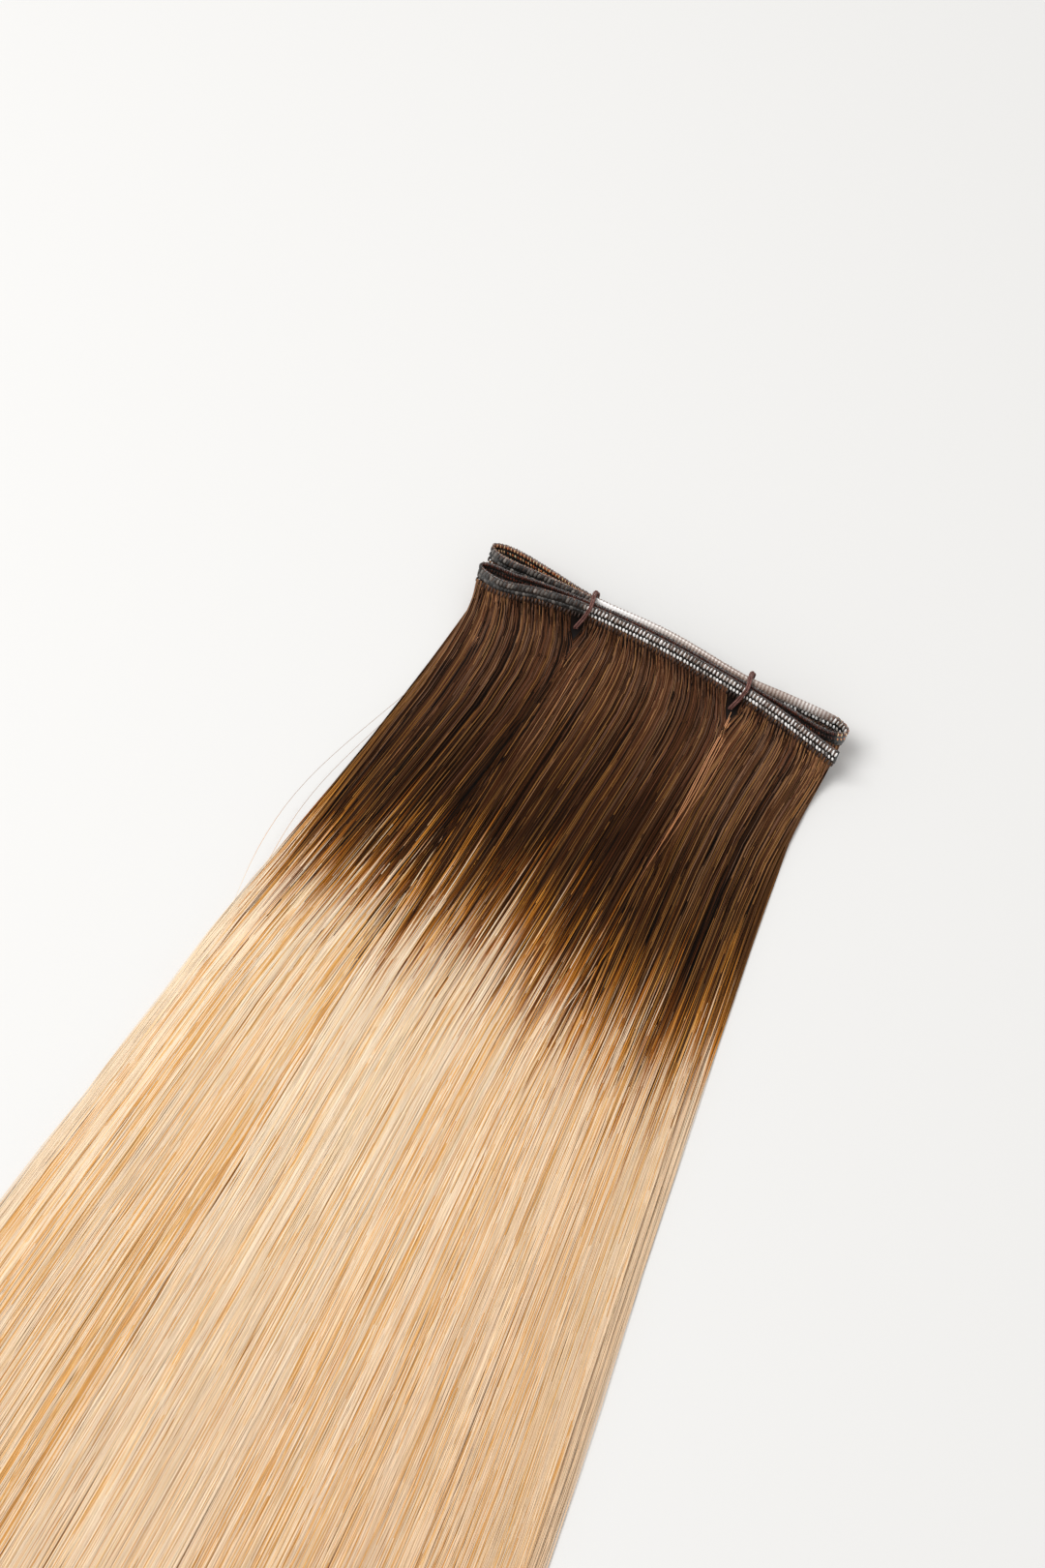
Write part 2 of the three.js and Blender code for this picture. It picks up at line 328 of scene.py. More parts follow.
def shown(name, mesh, material, node):
    """Adds a mesh to the scene as a piece of the object that stands for a solid."""
    mesh.name = name
    mesh.materials.clear()
    mesh.materials.append(material)
    piece = bpy.data.objects.new(name, mesh)
    bpy.context.scene.collection.objects.link(piece)
    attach(piece, BODY)
    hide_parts(node)


def tube_arrays(lines, radii, sides, u_pairs, v_values):
    """Closed tubes along many lines, in millimetres: lines (n, m, 3), radii (n, m), u (n, 2), v (n, m)."""
    count, stations = lines.shape[:2]
    ways = unit(np.gradient(lines, axis=1))
    aside = unit(np.cross(ways, TUBE_UPRIGHT))
    above = np.cross(aside, ways)
    turn = 2 * math.pi * np.arange(sides) / sides - math.pi / 2
    ring = np.cos(turn)[:, None] * aside[:, :, None, :] + np.sin(turn)[:, None] * above[:, :, None, :]
    points = lines[:, :, None, :] + ring * radii[:, :, None, None]
    first = (np.arange(count) * stations * sides)[:, None, None]
    row = (np.arange(stations - 1) * sides)[None, :, None]
    side = np.arange(sides)[None, None, :]
    near, far = first + row + side, first + row + (side + 1) % sides
    quads = np.stack([near, far, far + sides, near + sides], axis=-1).reshape(-1, 4)
    u = np.broadcast_to(u_pairs[:, None, None, [0, 1, 1, 0]], (count, stations - 1, sides, 4))
    v = np.stack([v_values[:, :-1], v_values[:, :-1], v_values[:, 1:], v_values[:, 1:]], axis=-1)
    v = np.broadcast_to(v[:, :, None, :], u.shape)
    quad_uv = np.stack([u, v], axis=-1).reshape(-1, 4, 2)
    around = np.arange(sides)
    starts = first[:, 0] + around[None, ::-1]
    ends = first[:, 0] + (stations - 1) * sides + around[None, :]
    caps = np.concatenate([starts, ends])
    cap_u = np.broadcast_to(np.linspace(0, 1, sides), (2 * count, sides))
    low, high = np.tile(u_pairs[:, :1], (2, 1)), np.tile(u_pairs[:, 1:], (2, 1))
    cap_v = np.concatenate([v_values[:, :1], v_values[:, -1:]]) + CAP_MAP_HEIGHT * (np.arange(sides) % 2)
    cap_uv = np.stack([low + (high - low) * cap_u, cap_v], axis=-1)
    return points.reshape(-1, 3), [(quads, quad_uv), (caps, cap_uv)]


def copies_arrays(shape, centres, axes, u_pairs):
    """Many turned and scaled copies of a shape, in millimetres: centres (n, 3), axes (n, 3, 3) as rows."""
    corners = np.array([v.co for v in shape.verts])
    # The operator's faces come in a new order each time. Sorted, they give the same mesh in every run.
    faces = [[v.index for v in face.verts] for face in shape.faces]
    faces = np.array(sorted(np.roll(face, -np.argmin(face)).tolist() for face in faces))
    points = centres[:, None, :] + np.einsum("kc,ncd->nkd", corners, axes)
    shifted = faces[None] + (np.arange(len(centres)) * len(corners))[:, None, None]
    u = u_pairs[:, None, [0, 1, 1]] + np.zeros((1, len(faces), 1))
    v = 0.5 + BALL_MAP_HALF * corners[faces][None, :, :, 2] + np.zeros((len(centres), 1, 1))
    return points.reshape(-1, 3), [(shifted.reshape(-1, 3), np.stack([u, v], axis=-1).reshape(-1, 3, 2))]


def joined(parts):
    """One mesh of several groups of points and faces."""
    points, groups, start = [], [], 0
    for part_points, faces in parts:
        points.append(part_points)
        groups += [(corners + start, uv) for corners, uv in faces]
        start += len(part_points)
    return mesh_from_arrays(in_frame(np.concatenate(points)), groups)


def small_ball(around, high):
    """A ball of few triangles, one unit in radius."""
    shape = bmesh.new()
    bmesh.ops.create_uvsphere(shape, u_segments=around, v_segments=high, radius=1)
    bmesh.ops.triangulate(shape, faces=shape.faces)
    shape.verts.index_update()
    return shape


def shaped_grid(columns, rows, place):
    """A grid whose points go to place(u, v), with u and v from 0 to 1, in millimetres of the bundle."""
    grid = bmesh.new()
    grid.loops.layers.uv.new(PATTERN_MAP)
    bmesh.ops.create_grid(grid, x_segments=columns, y_segments=rows, size=0.5, calc_uvs=True)
    flat = np.array([vert.co for vert in grid.verts])[:, :2] + 0.5
    for vert, point in zip(grid.verts, in_frame(place(flat[:, 0], flat[:, 1]))):
        vert.co = point
    return grid


def finished(grid):
    """Turns a bmesh into a smooth mesh and frees it."""
    mesh = bpy.data.meshes.new("piece")
    for face in grid.faces:
        face.smooth = True
    grid.to_mesh(mesh)
    grid.free()
    return mesh


# Materials


# A Mix node has sockets of one name for each kind of data, so those for colours are found by their places.
MIX_SHARE = 0
MIX_FIRST = 6
MIX_SECOND = 7
MIX_RESULT = 2
# Bands of a wave texture are this wide at scale 1.
WAVE_BAND = 2 * math.pi / 20


def add_node(tree, kind, inputs=None, stops=None, **settings):
    """Adds a node with its settings, its colour stops and its values or links."""
    node = tree.nodes.new(kind)
    for name, value in settings.items():
        setattr(node, name, value)
    if stops:
        ramp = node.color_ramp
        while len(ramp.elements) < len(stops):
            ramp.elements.new(1.0)
        for element, (place, colour) in zip(ramp.elements, stops):
            element.position = place
            element.color = opaque(colour)
    for name, value in (inputs or {}).items():
        if isinstance(value, bpy.types.NodeSocket):
            tree.links.new(value, node.inputs[name])
        else:
            node.inputs[name].default_value = value
    return node


def colour_stops(*pairs):
    """Stops of a colour ramp: places with hex codes, or with colours that are linear already."""
    return [(place, linear(colour) if isinstance(colour, str) else tuple(colour)) for place, colour in pairs]


def new_material(name, values):
    """A material whose shader has the given values, with its node tree and its shader."""
    material = bpy.data.materials.new(name)
    material.use_nodes = True
    shader = material.node_tree.nodes["Principled BSDF"]
    for socket, value in values.items():
        shader.inputs[socket].default_value = value
    return material, material.node_tree, shader


# How the pattern map of the hair is laid out: tints across it, and the way from the root up it. The right
# half of the tints is for strands that are deeper in tone where they are blonde.
HAIR_MATERIAL = "root_shaded_human_hair"
TINT_COLUMNS = 128
TINT_INSIDE = (0.15, 0.85)
MAP_BEFORE = 60.0
MAP_SPAN = 570.0

# The stretches over which the hair changes, and how far its tones do. Next to the track the hair is lighter,
# as painted light on its bend.
ROOT_DARKENS = (20.0, 60.0)
GOLDEN_SHARE = 0.52
ENDS_FULL = 300.0
NEAR_TONE = "#8a5a38"
NEAR_SHARE = 0.27
DEEP_TONE = "#ca9153"
DEEP_SHARE = 0.27
END_SHARE = 0.17


def deepened(stops, share):
    return [(place, mixed(colour, linear(DEEP_TONE), share)) for place, colour in stops]


def hair_tones(settings):
    """The hair's tints next to the track, lighter there as painted light, and its zones: plain and deeper
    tints, and where they set in.
    """
    near = colour_stops(
        (0.0, "#050201"),
        (0.15, "#1d1009"),
        (0.42, mixed(settings.root_colour, linear(NEAR_TONE), NEAR_SHARE)),
        (0.55, "#6a4029"),
        (0.68, "#715443"),
        (0.82, "#9a6f4a"),
        (0.9, "#a27446"),
        # The copper tints near 1 are a painted highlight, taken by the copper loose hairs.
        (1.0, "#e8a577"),
    )
    dark = colour_stops(
        (0.0, "#030100"),
        (0.15, "#0f0602"),
        (0.42, settings.root_colour),
        (0.55, "#44230d"),
        (0.68, "#533821"),
        (0.82, "#87592b"),
        (0.9, "#8f6432"),
        (1.0, "#b87c52"),
    )
    golden = colour_stops((0.0, "#48230d"), (0.3, "#925016"), (0.6, "#c67c28"), (1.0, "#e2a046"))
    # The blonde's low end is warm orange, the colour of the deep strands' painted shade.
    blonde = colour_stops(
        (0.0, "#c97d30"),
        (0.09, "#efb96f"),
        (0.24, "#f8dab0"),
        (0.4, settings.blonde_colour),
        (0.62, "#f8dfc0"),
        (0.8, "#fceacf"),
        (0.9, "#f0d3a8"),
        (1.0, "#e6b97e"),
    )
    ends = deepened(blonde, END_SHARE)
    fade = settings.fade_length / MM
    dark_end = settings.dark_length / MM
    golden_end = dark_end + fade * GOLDEN_SHARE
    zones = (
        (dark, None, *ROOT_DARKENS),
        (golden, None, dark_end, golden_end),
        (blonde, deepened(blonde, DEEP_SHARE), golden_end, dark_end + fade),
        (ends, deepened(ends, DEEP_SHARE), dark_end + fade, ENDS_FULL),
    )
    return near, zones


def hair_material(settings):
    """Coloured human hair: dark at the root, golden where it fades, then blonde, and faintly glossy."""
    values = {"Roughness": 0.5, "Specular IOR Level": 0.1}
    material, tree, shader = new_material(HAIR_MATERIAL, values)
    place = add_node(tree, "ShaderNodeUVMap", uv_map=PATTERN_MAP)
    axes = add_node(tree, "ShaderNodeSeparateXYZ", {"Vector": place.outputs["UV"]})
    double = add_node(tree, "ShaderNodeMath", {0: axes.outputs["X"], 1: 2.0}, operation="MULTIPLY")
    doubled = double.outputs["Value"]
    tint = add_node(tree, "ShaderNodeMath", {0: doubled}, operation="FRACT").outputs["Value"]
    deeper = add_node(tree, "ShaderNodeMath", {0: doubled, 1: 1.0}, operation="GREATER_THAN").outputs["Value"]
    near, zones = hair_tones(settings)
    colour = add_node(tree, "ShaderNodeValToRGB", {"Fac": tint}, stops=near).outputs["Color"]
    for plain_stops, deep_stops, start, end in zones:
        low, high = ((past + MAP_BEFORE) / MAP_SPAN for past in (start, end))
        reached = add_node(
            tree,
            "ShaderNodeMapRange",
            {"Value": axes.outputs["Y"], "From Min": low, "From Max": high},
            interpolation_type="SMOOTHSTEP",
        ).outputs["Result"]
        shade = add_node(tree, "ShaderNodeValToRGB", {"Fac": tint}, stops=plain_stops).outputs["Color"]
        if deep_stops:
            deep = add_node(tree, "ShaderNodeValToRGB", {"Fac": tint}, stops=deep_stops).outputs["Color"]
            choice = {MIX_SHARE: deeper, MIX_FIRST: shade, MIX_SECOND: deep}
            shade = add_node(tree, "ShaderNodeMix", choice, data_type="RGBA").outputs[MIX_RESULT]
        change = {MIX_SHARE: reached, MIX_FIRST: colour, MIX_SECOND: shade}
        colour = add_node(tree, "ShaderNodeMix", change, data_type="RGBA").outputs[MIX_RESULT]
    tree.links.new(colour, shader.inputs["Base Color"])
    return material


# Real sizes of the patterns: a tie's loop and a patch of loose fibres on it, and the stretch of track in one
# row of its map and a grain of the coating.
TIE_ROUND = 38.4
FIBRE_PATCH = 0.64
TRACK_MAP_LENGTH = 132.0
COAT_GRAIN = 1.2
FIBRE_SHADE = 0.45


def thread_material(settings):
    """Twisted polyester sewing thread: matt, with paler fibres on the outside of each ply, which are partly
    painted highlight.
    """
    material, tree, shader = new_material("twisted_sewing_thread", {"Roughness": 0.6})
    place = add_node(tree, "ShaderNodeUVMap", uv_map=PATTERN_MAP)
    fibres = add_node(
        tree,
        "ShaderNodeTexNoise",
        {"Vector": place.outputs["UV"], "Scale": TIE_ROUND / FIBRE_PATCH, "Detail": 3.0},
    )
    # The palest tone is partly painted highlight on the twist.
    tones = colour_stops(
        (0.3, mixed(settings.thread_colour, linear("#000000"), FIBRE_SHADE)),
        (0.52, settings.thread_colour),
        (0.7, "#b98478"),
    )
    colour = add_node(tree, "ShaderNodeValToRGB", {"Fac": fibres.outputs["Fac"]}, stops=tones)
    tree.links.new(colour.outputs["Color"], shader.inputs["Base Color"])
    return material


def coat_material(settings):
    """Dark machine-sewn weft under a clear flexible coating, glossy on its ridges."""
    values = {"Roughness": 0.32, "Coat Weight": 0.6, "Coat Roughness": 0.15}
    material, tree, shader = new_material("coated_weft_track", values)
    place = add_node(tree, "ShaderNodeUVMap", uv_map=PATTERN_MAP)
    grain = {"Scale": TRACK_MAP_LENGTH / COAT_GRAIN, "Detail": 4.0, "Roughness": 0.65}
    noise = add_node(tree, "ShaderNodeTexNoise", {"Vector": place.outputs["UV"], **grain})
    tones = colour_stops((0.35, "#141312"), (0.55, settings.coat_colour), (0.75, "#5f574f"))
    colour = add_node(tree, "ShaderNodeValToRGB", {"Fac": noise.outputs["Fac"]}, stops=tones)
    tree.links.new(colour.outputs["Color"], shader.inputs["Base Color"])
    return material


def stitch_material(name, tones, roughness, coat):
    """Sewing thread in a row of stitches, each stitch with its own tint, under more or less coating."""
    values = {"Roughness": roughness, "Coat Weight": coat, "Coat Roughness": 0.1, "Coat IOR": 2.2}
    material, tree, shader = new_material(name, values)
    place = add_node(tree, "ShaderNodeUVMap", uv_map=PATTERN_MAP)
    axes = add_node(tree, "ShaderNodeSeparateXYZ", {"Vector": place.outputs["UV"]})
    colour = add_node(tree, "ShaderNodeValToRGB", {"Fac": axes.outputs["X"]}, stops=tones)
    tree.links.new(colour.outputs["Color"], shader.inputs["Base Color"])
    return material


def coated_stitches(settings):
    """Stitches under thick clear coating: glossy beads with dark ones among them, their own grey painted pale
    to near white as highlight.
    """
    # The pale end of these tones, where most coated stitches sit, is painted highlight.
    tones = colour_stops((0.0, "#161514"), (0.35, "#585350"), (0.6, settings.bead_colour), (1.0, "#fffdfa"))
    return stitch_material("coated_stitches", tones, roughness=0.3, coat=1.0)


def matt_stitches():
    """Stitches where the coating is thin and dull: charcoal grey, with hardly any gloss."""
    tones = colour_stops((0.0, "#161514"), (0.35, "#423f3d"), (0.6, "#6e6862"), (1.0, "#b5aca4"))
    return stitch_material("matt_coated_stitches", tones, roughness=0.55, coat=0.08)


def edge_thread(settings):
    """Bare sewing thread along the edges: brown, and nearly black along the lower one, where that black is
    painted shade under the track's edge.
    """
    tones = colour_stops((0.0, "#1c0f0a"), (0.5, settings.edge_colour), (1.0, "#a89284"))
    return stitch_material("edge_thread", tones, roughness=0.5, coat=0.1)


def reverse_stitches(settings):
    """Thread on the reverse: dark red brown and copper, with cream loops."""
    tones = colour_stops(
        (0.0, "#2c120a"), (0.4, "#6a2f17"), (0.6, settings.copper_colour), (1.0, settings.cream_colour)
    )
    return stitch_material("reverse_stitches", tones, roughness=0.5, coat=0.2)


def painted_sheen_ridge_material():
    """Coating on a ridge, glossy and painted pale as a reflection of the light, with the stitches dim under
    it.
    """
    values = {"Roughness": 0.35, "Coat Weight": 1.0, "Coat Roughness": 0.15}
    material, tree, shader = new_material("cloudy_coating", values)
    place = add_node(tree, "ShaderNodeUVMap", uv_map=PATTERN_MAP)
    axes = add_node(tree, "ShaderNodeSeparateXYZ", {"Vector": place.outputs["UV"]})
    # The pale tones are painted reflection of the light, strongest at the left and near the right end.
    tones = colour_stops(
        (0.0, "#eae8e6"),
        (0.14, "#e6e2df"),
        (0.32, "#c8beb6"),
        (0.6, "#a39287"),
        (0.8, "#b3a59b"),
        (0.9, "#dcd6d1"),
        (1.0, "#8f8077"),
    )
    pale = add_node(tree, "ShaderNodeValToRGB", {"Fac": axes.outputs["X"]}, stops=tones)
    ripple = {
        "Scale": COATING_STITCHES * WAVE_BAND,
        "Distortion": 3.0,
        "Detail": 2.0,
        "Detail Scale": 1.5,
    }
    stitches = add_node(tree, "ShaderNodeTexWave", {"Vector": place.outputs["UV"], **ripple})
    thin = add_node(
        tree,
        "ShaderNodeMapRange",
        {"Value": axes.outputs["X"], "From Min": 0.08, "From Max": 0.45, "To Min": 0.12, "To Max": 0.8},
    )
    top = add_node(
        tree,
        "ShaderNodeMapRange",
        {"Value": axes.outputs["Y"], "From Min": 0.44, "From Max": 0.52, "To Min": 0.0, "To Max": 0.85},
    )
    either = {0: thin.outputs["Result"], 1: top.outputs["Result"]}
    seen = add_node(tree, "ShaderNodeMath", either, operation="MAXIMUM")
    both = {0: stitches.outputs["Fac"], 1: seen.outputs["Value"]}
    share = add_node(tree, "ShaderNodeMath", both, operation="MULTIPLY")
    change = {
        MIX_SHARE: share.outputs["Value"],
        MIX_FIRST: pale.outputs["Color"],
        MIX_SECOND: opaque(linear("#6a4a3b")),
    }
    blend = add_node(tree, "ShaderNodeMix", change, data_type="RGBA")
    tree.links.new(blend.outputs[MIX_RESULT], shader.inputs["Base Color"])
    return material


# The track's line


LINE_STEPS = 240
FOLD_STEPS = 40


def run_line(run, start, end):
    along = np.linspace(start, end, LINE_STEPS)
    return np.stack([along, run_depth(run, along), run_lift(run, along)], axis=1)


def fold_line(side, first, second):
    start, end = (float(run_depth(run, side * FOLD_AT)) for run in (first, second))
    turn = np.linspace(0, math.pi, FOLD_STEPS + 2)[1:-1]
    along = side * (FOLD_AT + FOLD_REACH * np.sin(turn))
    depth = (start + end) / 2 + (start - end) / 2 * np.cos(turn)
    return np.stack([along, depth, np.full_like(turn, TRACK_LIFT)], axis=1)


def track_line():
    """The track's lower edge, from its free end at the back to its free end at the front."""
    return np.concatenate(
        [
            run_line("back", FREE_ENDS["back"], -FOLD_AT),
            fold_line(-1, "back", "second"),
            run_line("second", -FOLD_AT, FOLD_AT),
            fold_line(1, "second", "third"),
            run_line("third", FOLD_AT, -FOLD_AT),
            fold_line(-1, "third", "front"),
            run_line("front", -FOLD_AT, FREE_ENDS["front"]),
        ]
    )


def distances(line):
    """How far along a line each of its points is."""
    steps = np.linalg.norm(np.diff(line, axis=0), axis=1)
    return np.concatenate([[0], np.cumsum(steps)])


def points_along(line, at):
    """Points at the given distances along a line, with the way ahead at each."""
    reach = distances(line)
    points = np.stack([np.interp(at, reach, line[:, k]) for k in range(3)], axis=1)
    ways = np.stack([np.interp(at, reach, np.gradient(line[:, k], reach)) for k in range(3)], axis=1)
    return points, unit(ways)


def left_of(ways):
    return unit(np.stack([-ways[:, 1], ways[:, 0], np.zeros(len(ways))], axis=1))


# The track's pieces


TRACK_STATIONS = 640
TRACK_MAP_ROWS = 4
MAP_MARGIN = 0.02
FACE_POINTS = 13
EDGE_ROUND = 0.9
EDGE_LEAST = 0.06
CORE_SHARE = 0.86
MERGE = 0.001

# The coating on the second run's upper ridge, painted pale as a reflection of the light: its section, its two
# ends along the run, and its swell.
COATING_RING = table(
    "rise out",
    (0.42, -0.3),
    (0.5, -0.7),
    (0.62, -0.95),
    (0.76, -1.06),
    (0.9, -1.0),
    (0.99, -0.8),
    (1.045, -0.4),
    (1.06, 0.0),
    (1.03, 0.28),
    (0.95, 0.4),
    (0.85, 0.3),
    (0.7, 0.05),
    (0.5, -0.05),
)
COATING_ENDS = (-27.0, 60.0)
COATING_STITCHES = round((COATING_ENDS[1] - COATING_ENDS[0]) / STITCH_PITCH)
COATING_STATIONS = 6 * COATING_STITCHES
COATING_RIPPLE = 0.05
COATING_END_SIZE = 0.45
COATING_END_SHARE = 0.06

# Rows of stitches: the row's height on the track and its side, where it starts and its spacing in pitches,
# how far it is sunk, a stitch's size and lean, the mean and spread of its tint, and how much darker it is on
# the shaded runs, as painted shade, and at the left end, where the coating is matt and the coated stitches
# get no painted highlight.
STITCH_COLUMNS = "rise side start spacing sunk long deep tall lean tint tint_spread shaded left"
COATED_ROWS = table(
    STITCH_COLUMNS,
    (0.76, 1, 0, 1, 0.08, 0.8, 0.72, 2.2, 0.16, 0.88, 0.22, 0, 0.46),
    (0.3, 1, 0.5, 1, 0.1, 0.96, 0.72, 1.45, -0.12, 0.84, 0.3, 0, 0.62),
)
EDGE_ROWS = table(
    STITCH_COLUMNS,
    (0.97, 1, 0, 0.8, 0.25, 0.72, 0.8, 0.66, 0, 0.5, 0.22, 0.4, 0),
    (0.77, 1, 0.5, 1, 0.1, 0.42, 0.62, 2.1, 0.16, 0.46, 0.18, 0, 0.4),
    # The lowest row is nearly black: painted shade where the track's lower edge meets the hair.
    (-0.06, 1, 0, 1, -0.4, 0.8, 0.9, 2.2, 0.1, 0.04, 0.04, 0, 0),
)
REVERSE_ROWS = table(
    STITCH_COLUMNS,
    (0.88, -1, 0, 1, 0.1, 0.86, 0.6, 1.2, 0.1, 0.34, 0.1, 0.3, 0),
    (0.88, -1, 0.5, 1, 0.06, 0.42, 0.6, 1.3, 0.1, 0.9, 0.12, 0.8, 0),
    (0.5, -1, 0.5, 0.8, 0.06, 0.62, 0.5, 1.2, 0.3, 0.66, 0.16, 0.5, 0),
)
FACE_SEED = 11
EDGE_SEED = 12
REVERSE_SEED = 13
STITCH_AROUND = 6
STITCH_HIGH = 5
STITCH_JITTER = 0.05
STITCH_SIZE_SPREAD = 0.12
STITCH_LEAN_SPREAD = 0.06
STITCH_TINTS = (0.01, 0.97)
STITCH_TINT_WIDTH = 0.02
RUNS = 4
SHADED_RUNS = (2, 3)
MATT_UNTIL = (-31.0, -25.0)
MATT_END = -27.5
MATT_FLATTER = 0.4
MATT_LONGER = 0.9
MATT_EVENER = 0.15


def track_thickness(rise):
    """The track's thickness at a share of its height, rounded off at both edges."""
    over = np.clip((np.abs(2 * rise - 1) - EDGE_ROUND) / (1 - EDGE_ROUND), 0, 1)
    rounding = np.sqrt(np.clip(1 - over**2, EDGE_LEAST, 1))
    return smooth_table(TRACK_PROFILE, "rise", "thickness", rise) * rounding


def swept_strip(line, stations, rises, outs, swell, map_rows):
    """A closed strip along a line: round its section, rises are shares of the height and outs the way out."""
    points, ways = points_along(line, np.linspace(0, distances(line)[-1], stations + 1))
    across = left_of(ways)
    ring = len(rises)
    rises, outs = (np.concatenate([values, values[:1]]) for values in (rises, outs))

    def place(u, v):
        i = np.rint(u * stations).astype(int)
        j = np.rint(v * ring).astype(int)
        out = outs[j] * swell(u)
        return points[i] + across[i] * out[:, None] + TRACK_UP * (rises[j] * TRACK_HEIGHT)[:, None]

    grid = shaped_grid(stations, ring, place)
    layer = grid.loops.layers.uv.active
    for face in grid.faces:
        row = min(int(np.mean([loop[layer].uv.x for loop in face.loops]) * map_rows), map_rows - 1)
        for loop in face.loops:
            u, v = loop[layer].uv
            up = row + MAP_MARGIN + (1 - 2 * MAP_MARGIN) * v
            loop[layer].uv = (u * map_rows - row, up / map_rows)
    bmesh.ops.remove_doubles(grid, verts=grid.verts, dist=MERGE * MM)
    bmesh.ops.holes_fill(grid, edges=[edge for edge in grid.edges if edge.is_boundary])
    bmesh.ops.recalc_face_normals(grid, faces=grid.faces)
    return finished(grid)


def track_core():
    """The strip itself, with two ridges and a groove on both faces."""
    face = 0.5 - 0.5 * np.cos(np.linspace(0, math.pi, FACE_POINTS))
    half = track_thickness(face) / 2 * CORE_SHARE
    rises, outs = np.concatenate([face, face[::-1]]), np.concatenate([-half, half[::-1]])
    return swept_strip(track_line(), TRACK_STATIONS, rises, outs, np.ones_like, TRACK_MAP_ROWS)


def cloudy_coating():
    """The thick coating over the upper ridge of the second run, between the ties and to the right, painted
    pale as a reflection.
    """
    rises, outs = (np.array([row[column] for row in COATING_RING]) for column in ("rise", "out"))

    def swell(u):
        ripple = COATING_RIPPLE * np.sin(2 * math.pi * COATING_STITCHES * u)
        full = smoothstep(np.minimum(u, 1 - u), 0, COATING_END_SHARE)
        return (COATING_END_SIZE + (1 - COATING_END_SIZE) * full) * (1 + ripple)

    line = run_line("second", *COATING_ENDS)
    return swept_strip(line, COATING_STATIONS, rises, outs, swell, 1)


def stitch_rows(rows, pitch, seed, stretch=(-math.inf, math.inf)):
    """Rows of stitches along a stretch of the track, flatter and longer where the coating is matt."""
    random = np.random.default_rng(seed)
    line = track_line()
    reach = distances(line)[-1]
    shape = small_ball(STITCH_AROUND, STITCH_HIGH)
    parts = []
    for row in rows:
        at = np.arange(pitch / 2 + row["start"] * pitch, reach - pitch / 3, pitch * row["spacing"])
        at = at + random.normal(0, STITCH_JITTER * pitch, len(at))
        points, ways = points_along(line, at)
        out = -left_of(ways) * row["side"]
        proud = float(track_thickness(np.array(row["rise"]))) / 2
        centres = points + TRACK_UP * (row["rise"] * TRACK_HEIGHT) + out * (proud - row["sunk"])
        left = 1 - smoothstep(points[:, 0], *MATT_UNTIL)
        whole = np.array([row["long"], row["deep"], row["tall"]])
        size = random.normal(1, STITCH_SIZE_SPREAD, (len(at), 3)) * whole / 2
        size[:, 1] *= 1 - MATT_FLATTER * left * np.sign(row["left"])
        size[:, 0] *= 1 + MATT_LONGER * left * np.sign(row["left"])
        lean = row["lean"] + random.normal(0, STITCH_LEAN_SPREAD, len(at))
        tall = TRACK_UP + ways * lean[:, None]
        axes = np.stack([ways * size[:, :1], out * size[:, 1:2], tall * size[:, 2:]], axis=1)
        shade = np.where(np.isin(np.floor(RUNS * at / reach), SHADED_RUNS), row["shaded"], 0)
        spread = row["tint_spread"] * (1 - MATT_EVENER * left)
        tint = row["tint"] + spread * random.normal(0, 1, len(at)) - shade - row["left"] * left
        tint = np.clip(tint, *STITCH_TINTS)
        pairs = np.stack([tint, tint + STITCH_TINT_WIDTH], axis=1)
        here = (points[:, 0] >= stretch[0]) & (points[:, 0] < stretch[1])
        parts.append(copies_arrays(shape, centres[here], axes[here], pairs[here]))
    shape.free()
    return joined(parts)


# The ties


TIE_STATIONS = 240
TIE_THREADS = 2
TIE_PLIES = 3
PLY_SIDES = 6
# The two threads sway round each other this many times and this far, in radians.
TIE_TURNS = 2
TIE_SWAY = 0.35
# Shares of a thread's thickness: how far apart the threads are, and a ply's way out and radius.
THREADS_APART = 0.96
PLY_OUT = 0.26
PLY_RADIUS = 0.25
PLY_MAP_MARGIN = 0.01


def tie_line(place):
    """The closed middle line of one tie, smooth through its route."""
    route = np.array(
        [
            (place + row["aside"], float(run_depth(row["beside"], place)) - row["ahead"], row["height"])
            for row in TIE_ROUTE
        ]
    )
    t = np.linspace(0, len(route), TIE_STATIONS, endpoint=False)
    i, f = np.floor(t).astype(int), (t % 1)[:, None]
    a, b, c, d = (route[(i + k) % len(route)] for k in (-1, 0, 1, 2))
    return 0.5 * (2 * b + (c - a) * f + (2 * a - 5 * b + 4 * c - d) * f**2 + (3 * b - a - 3 * c + d) * f**3)


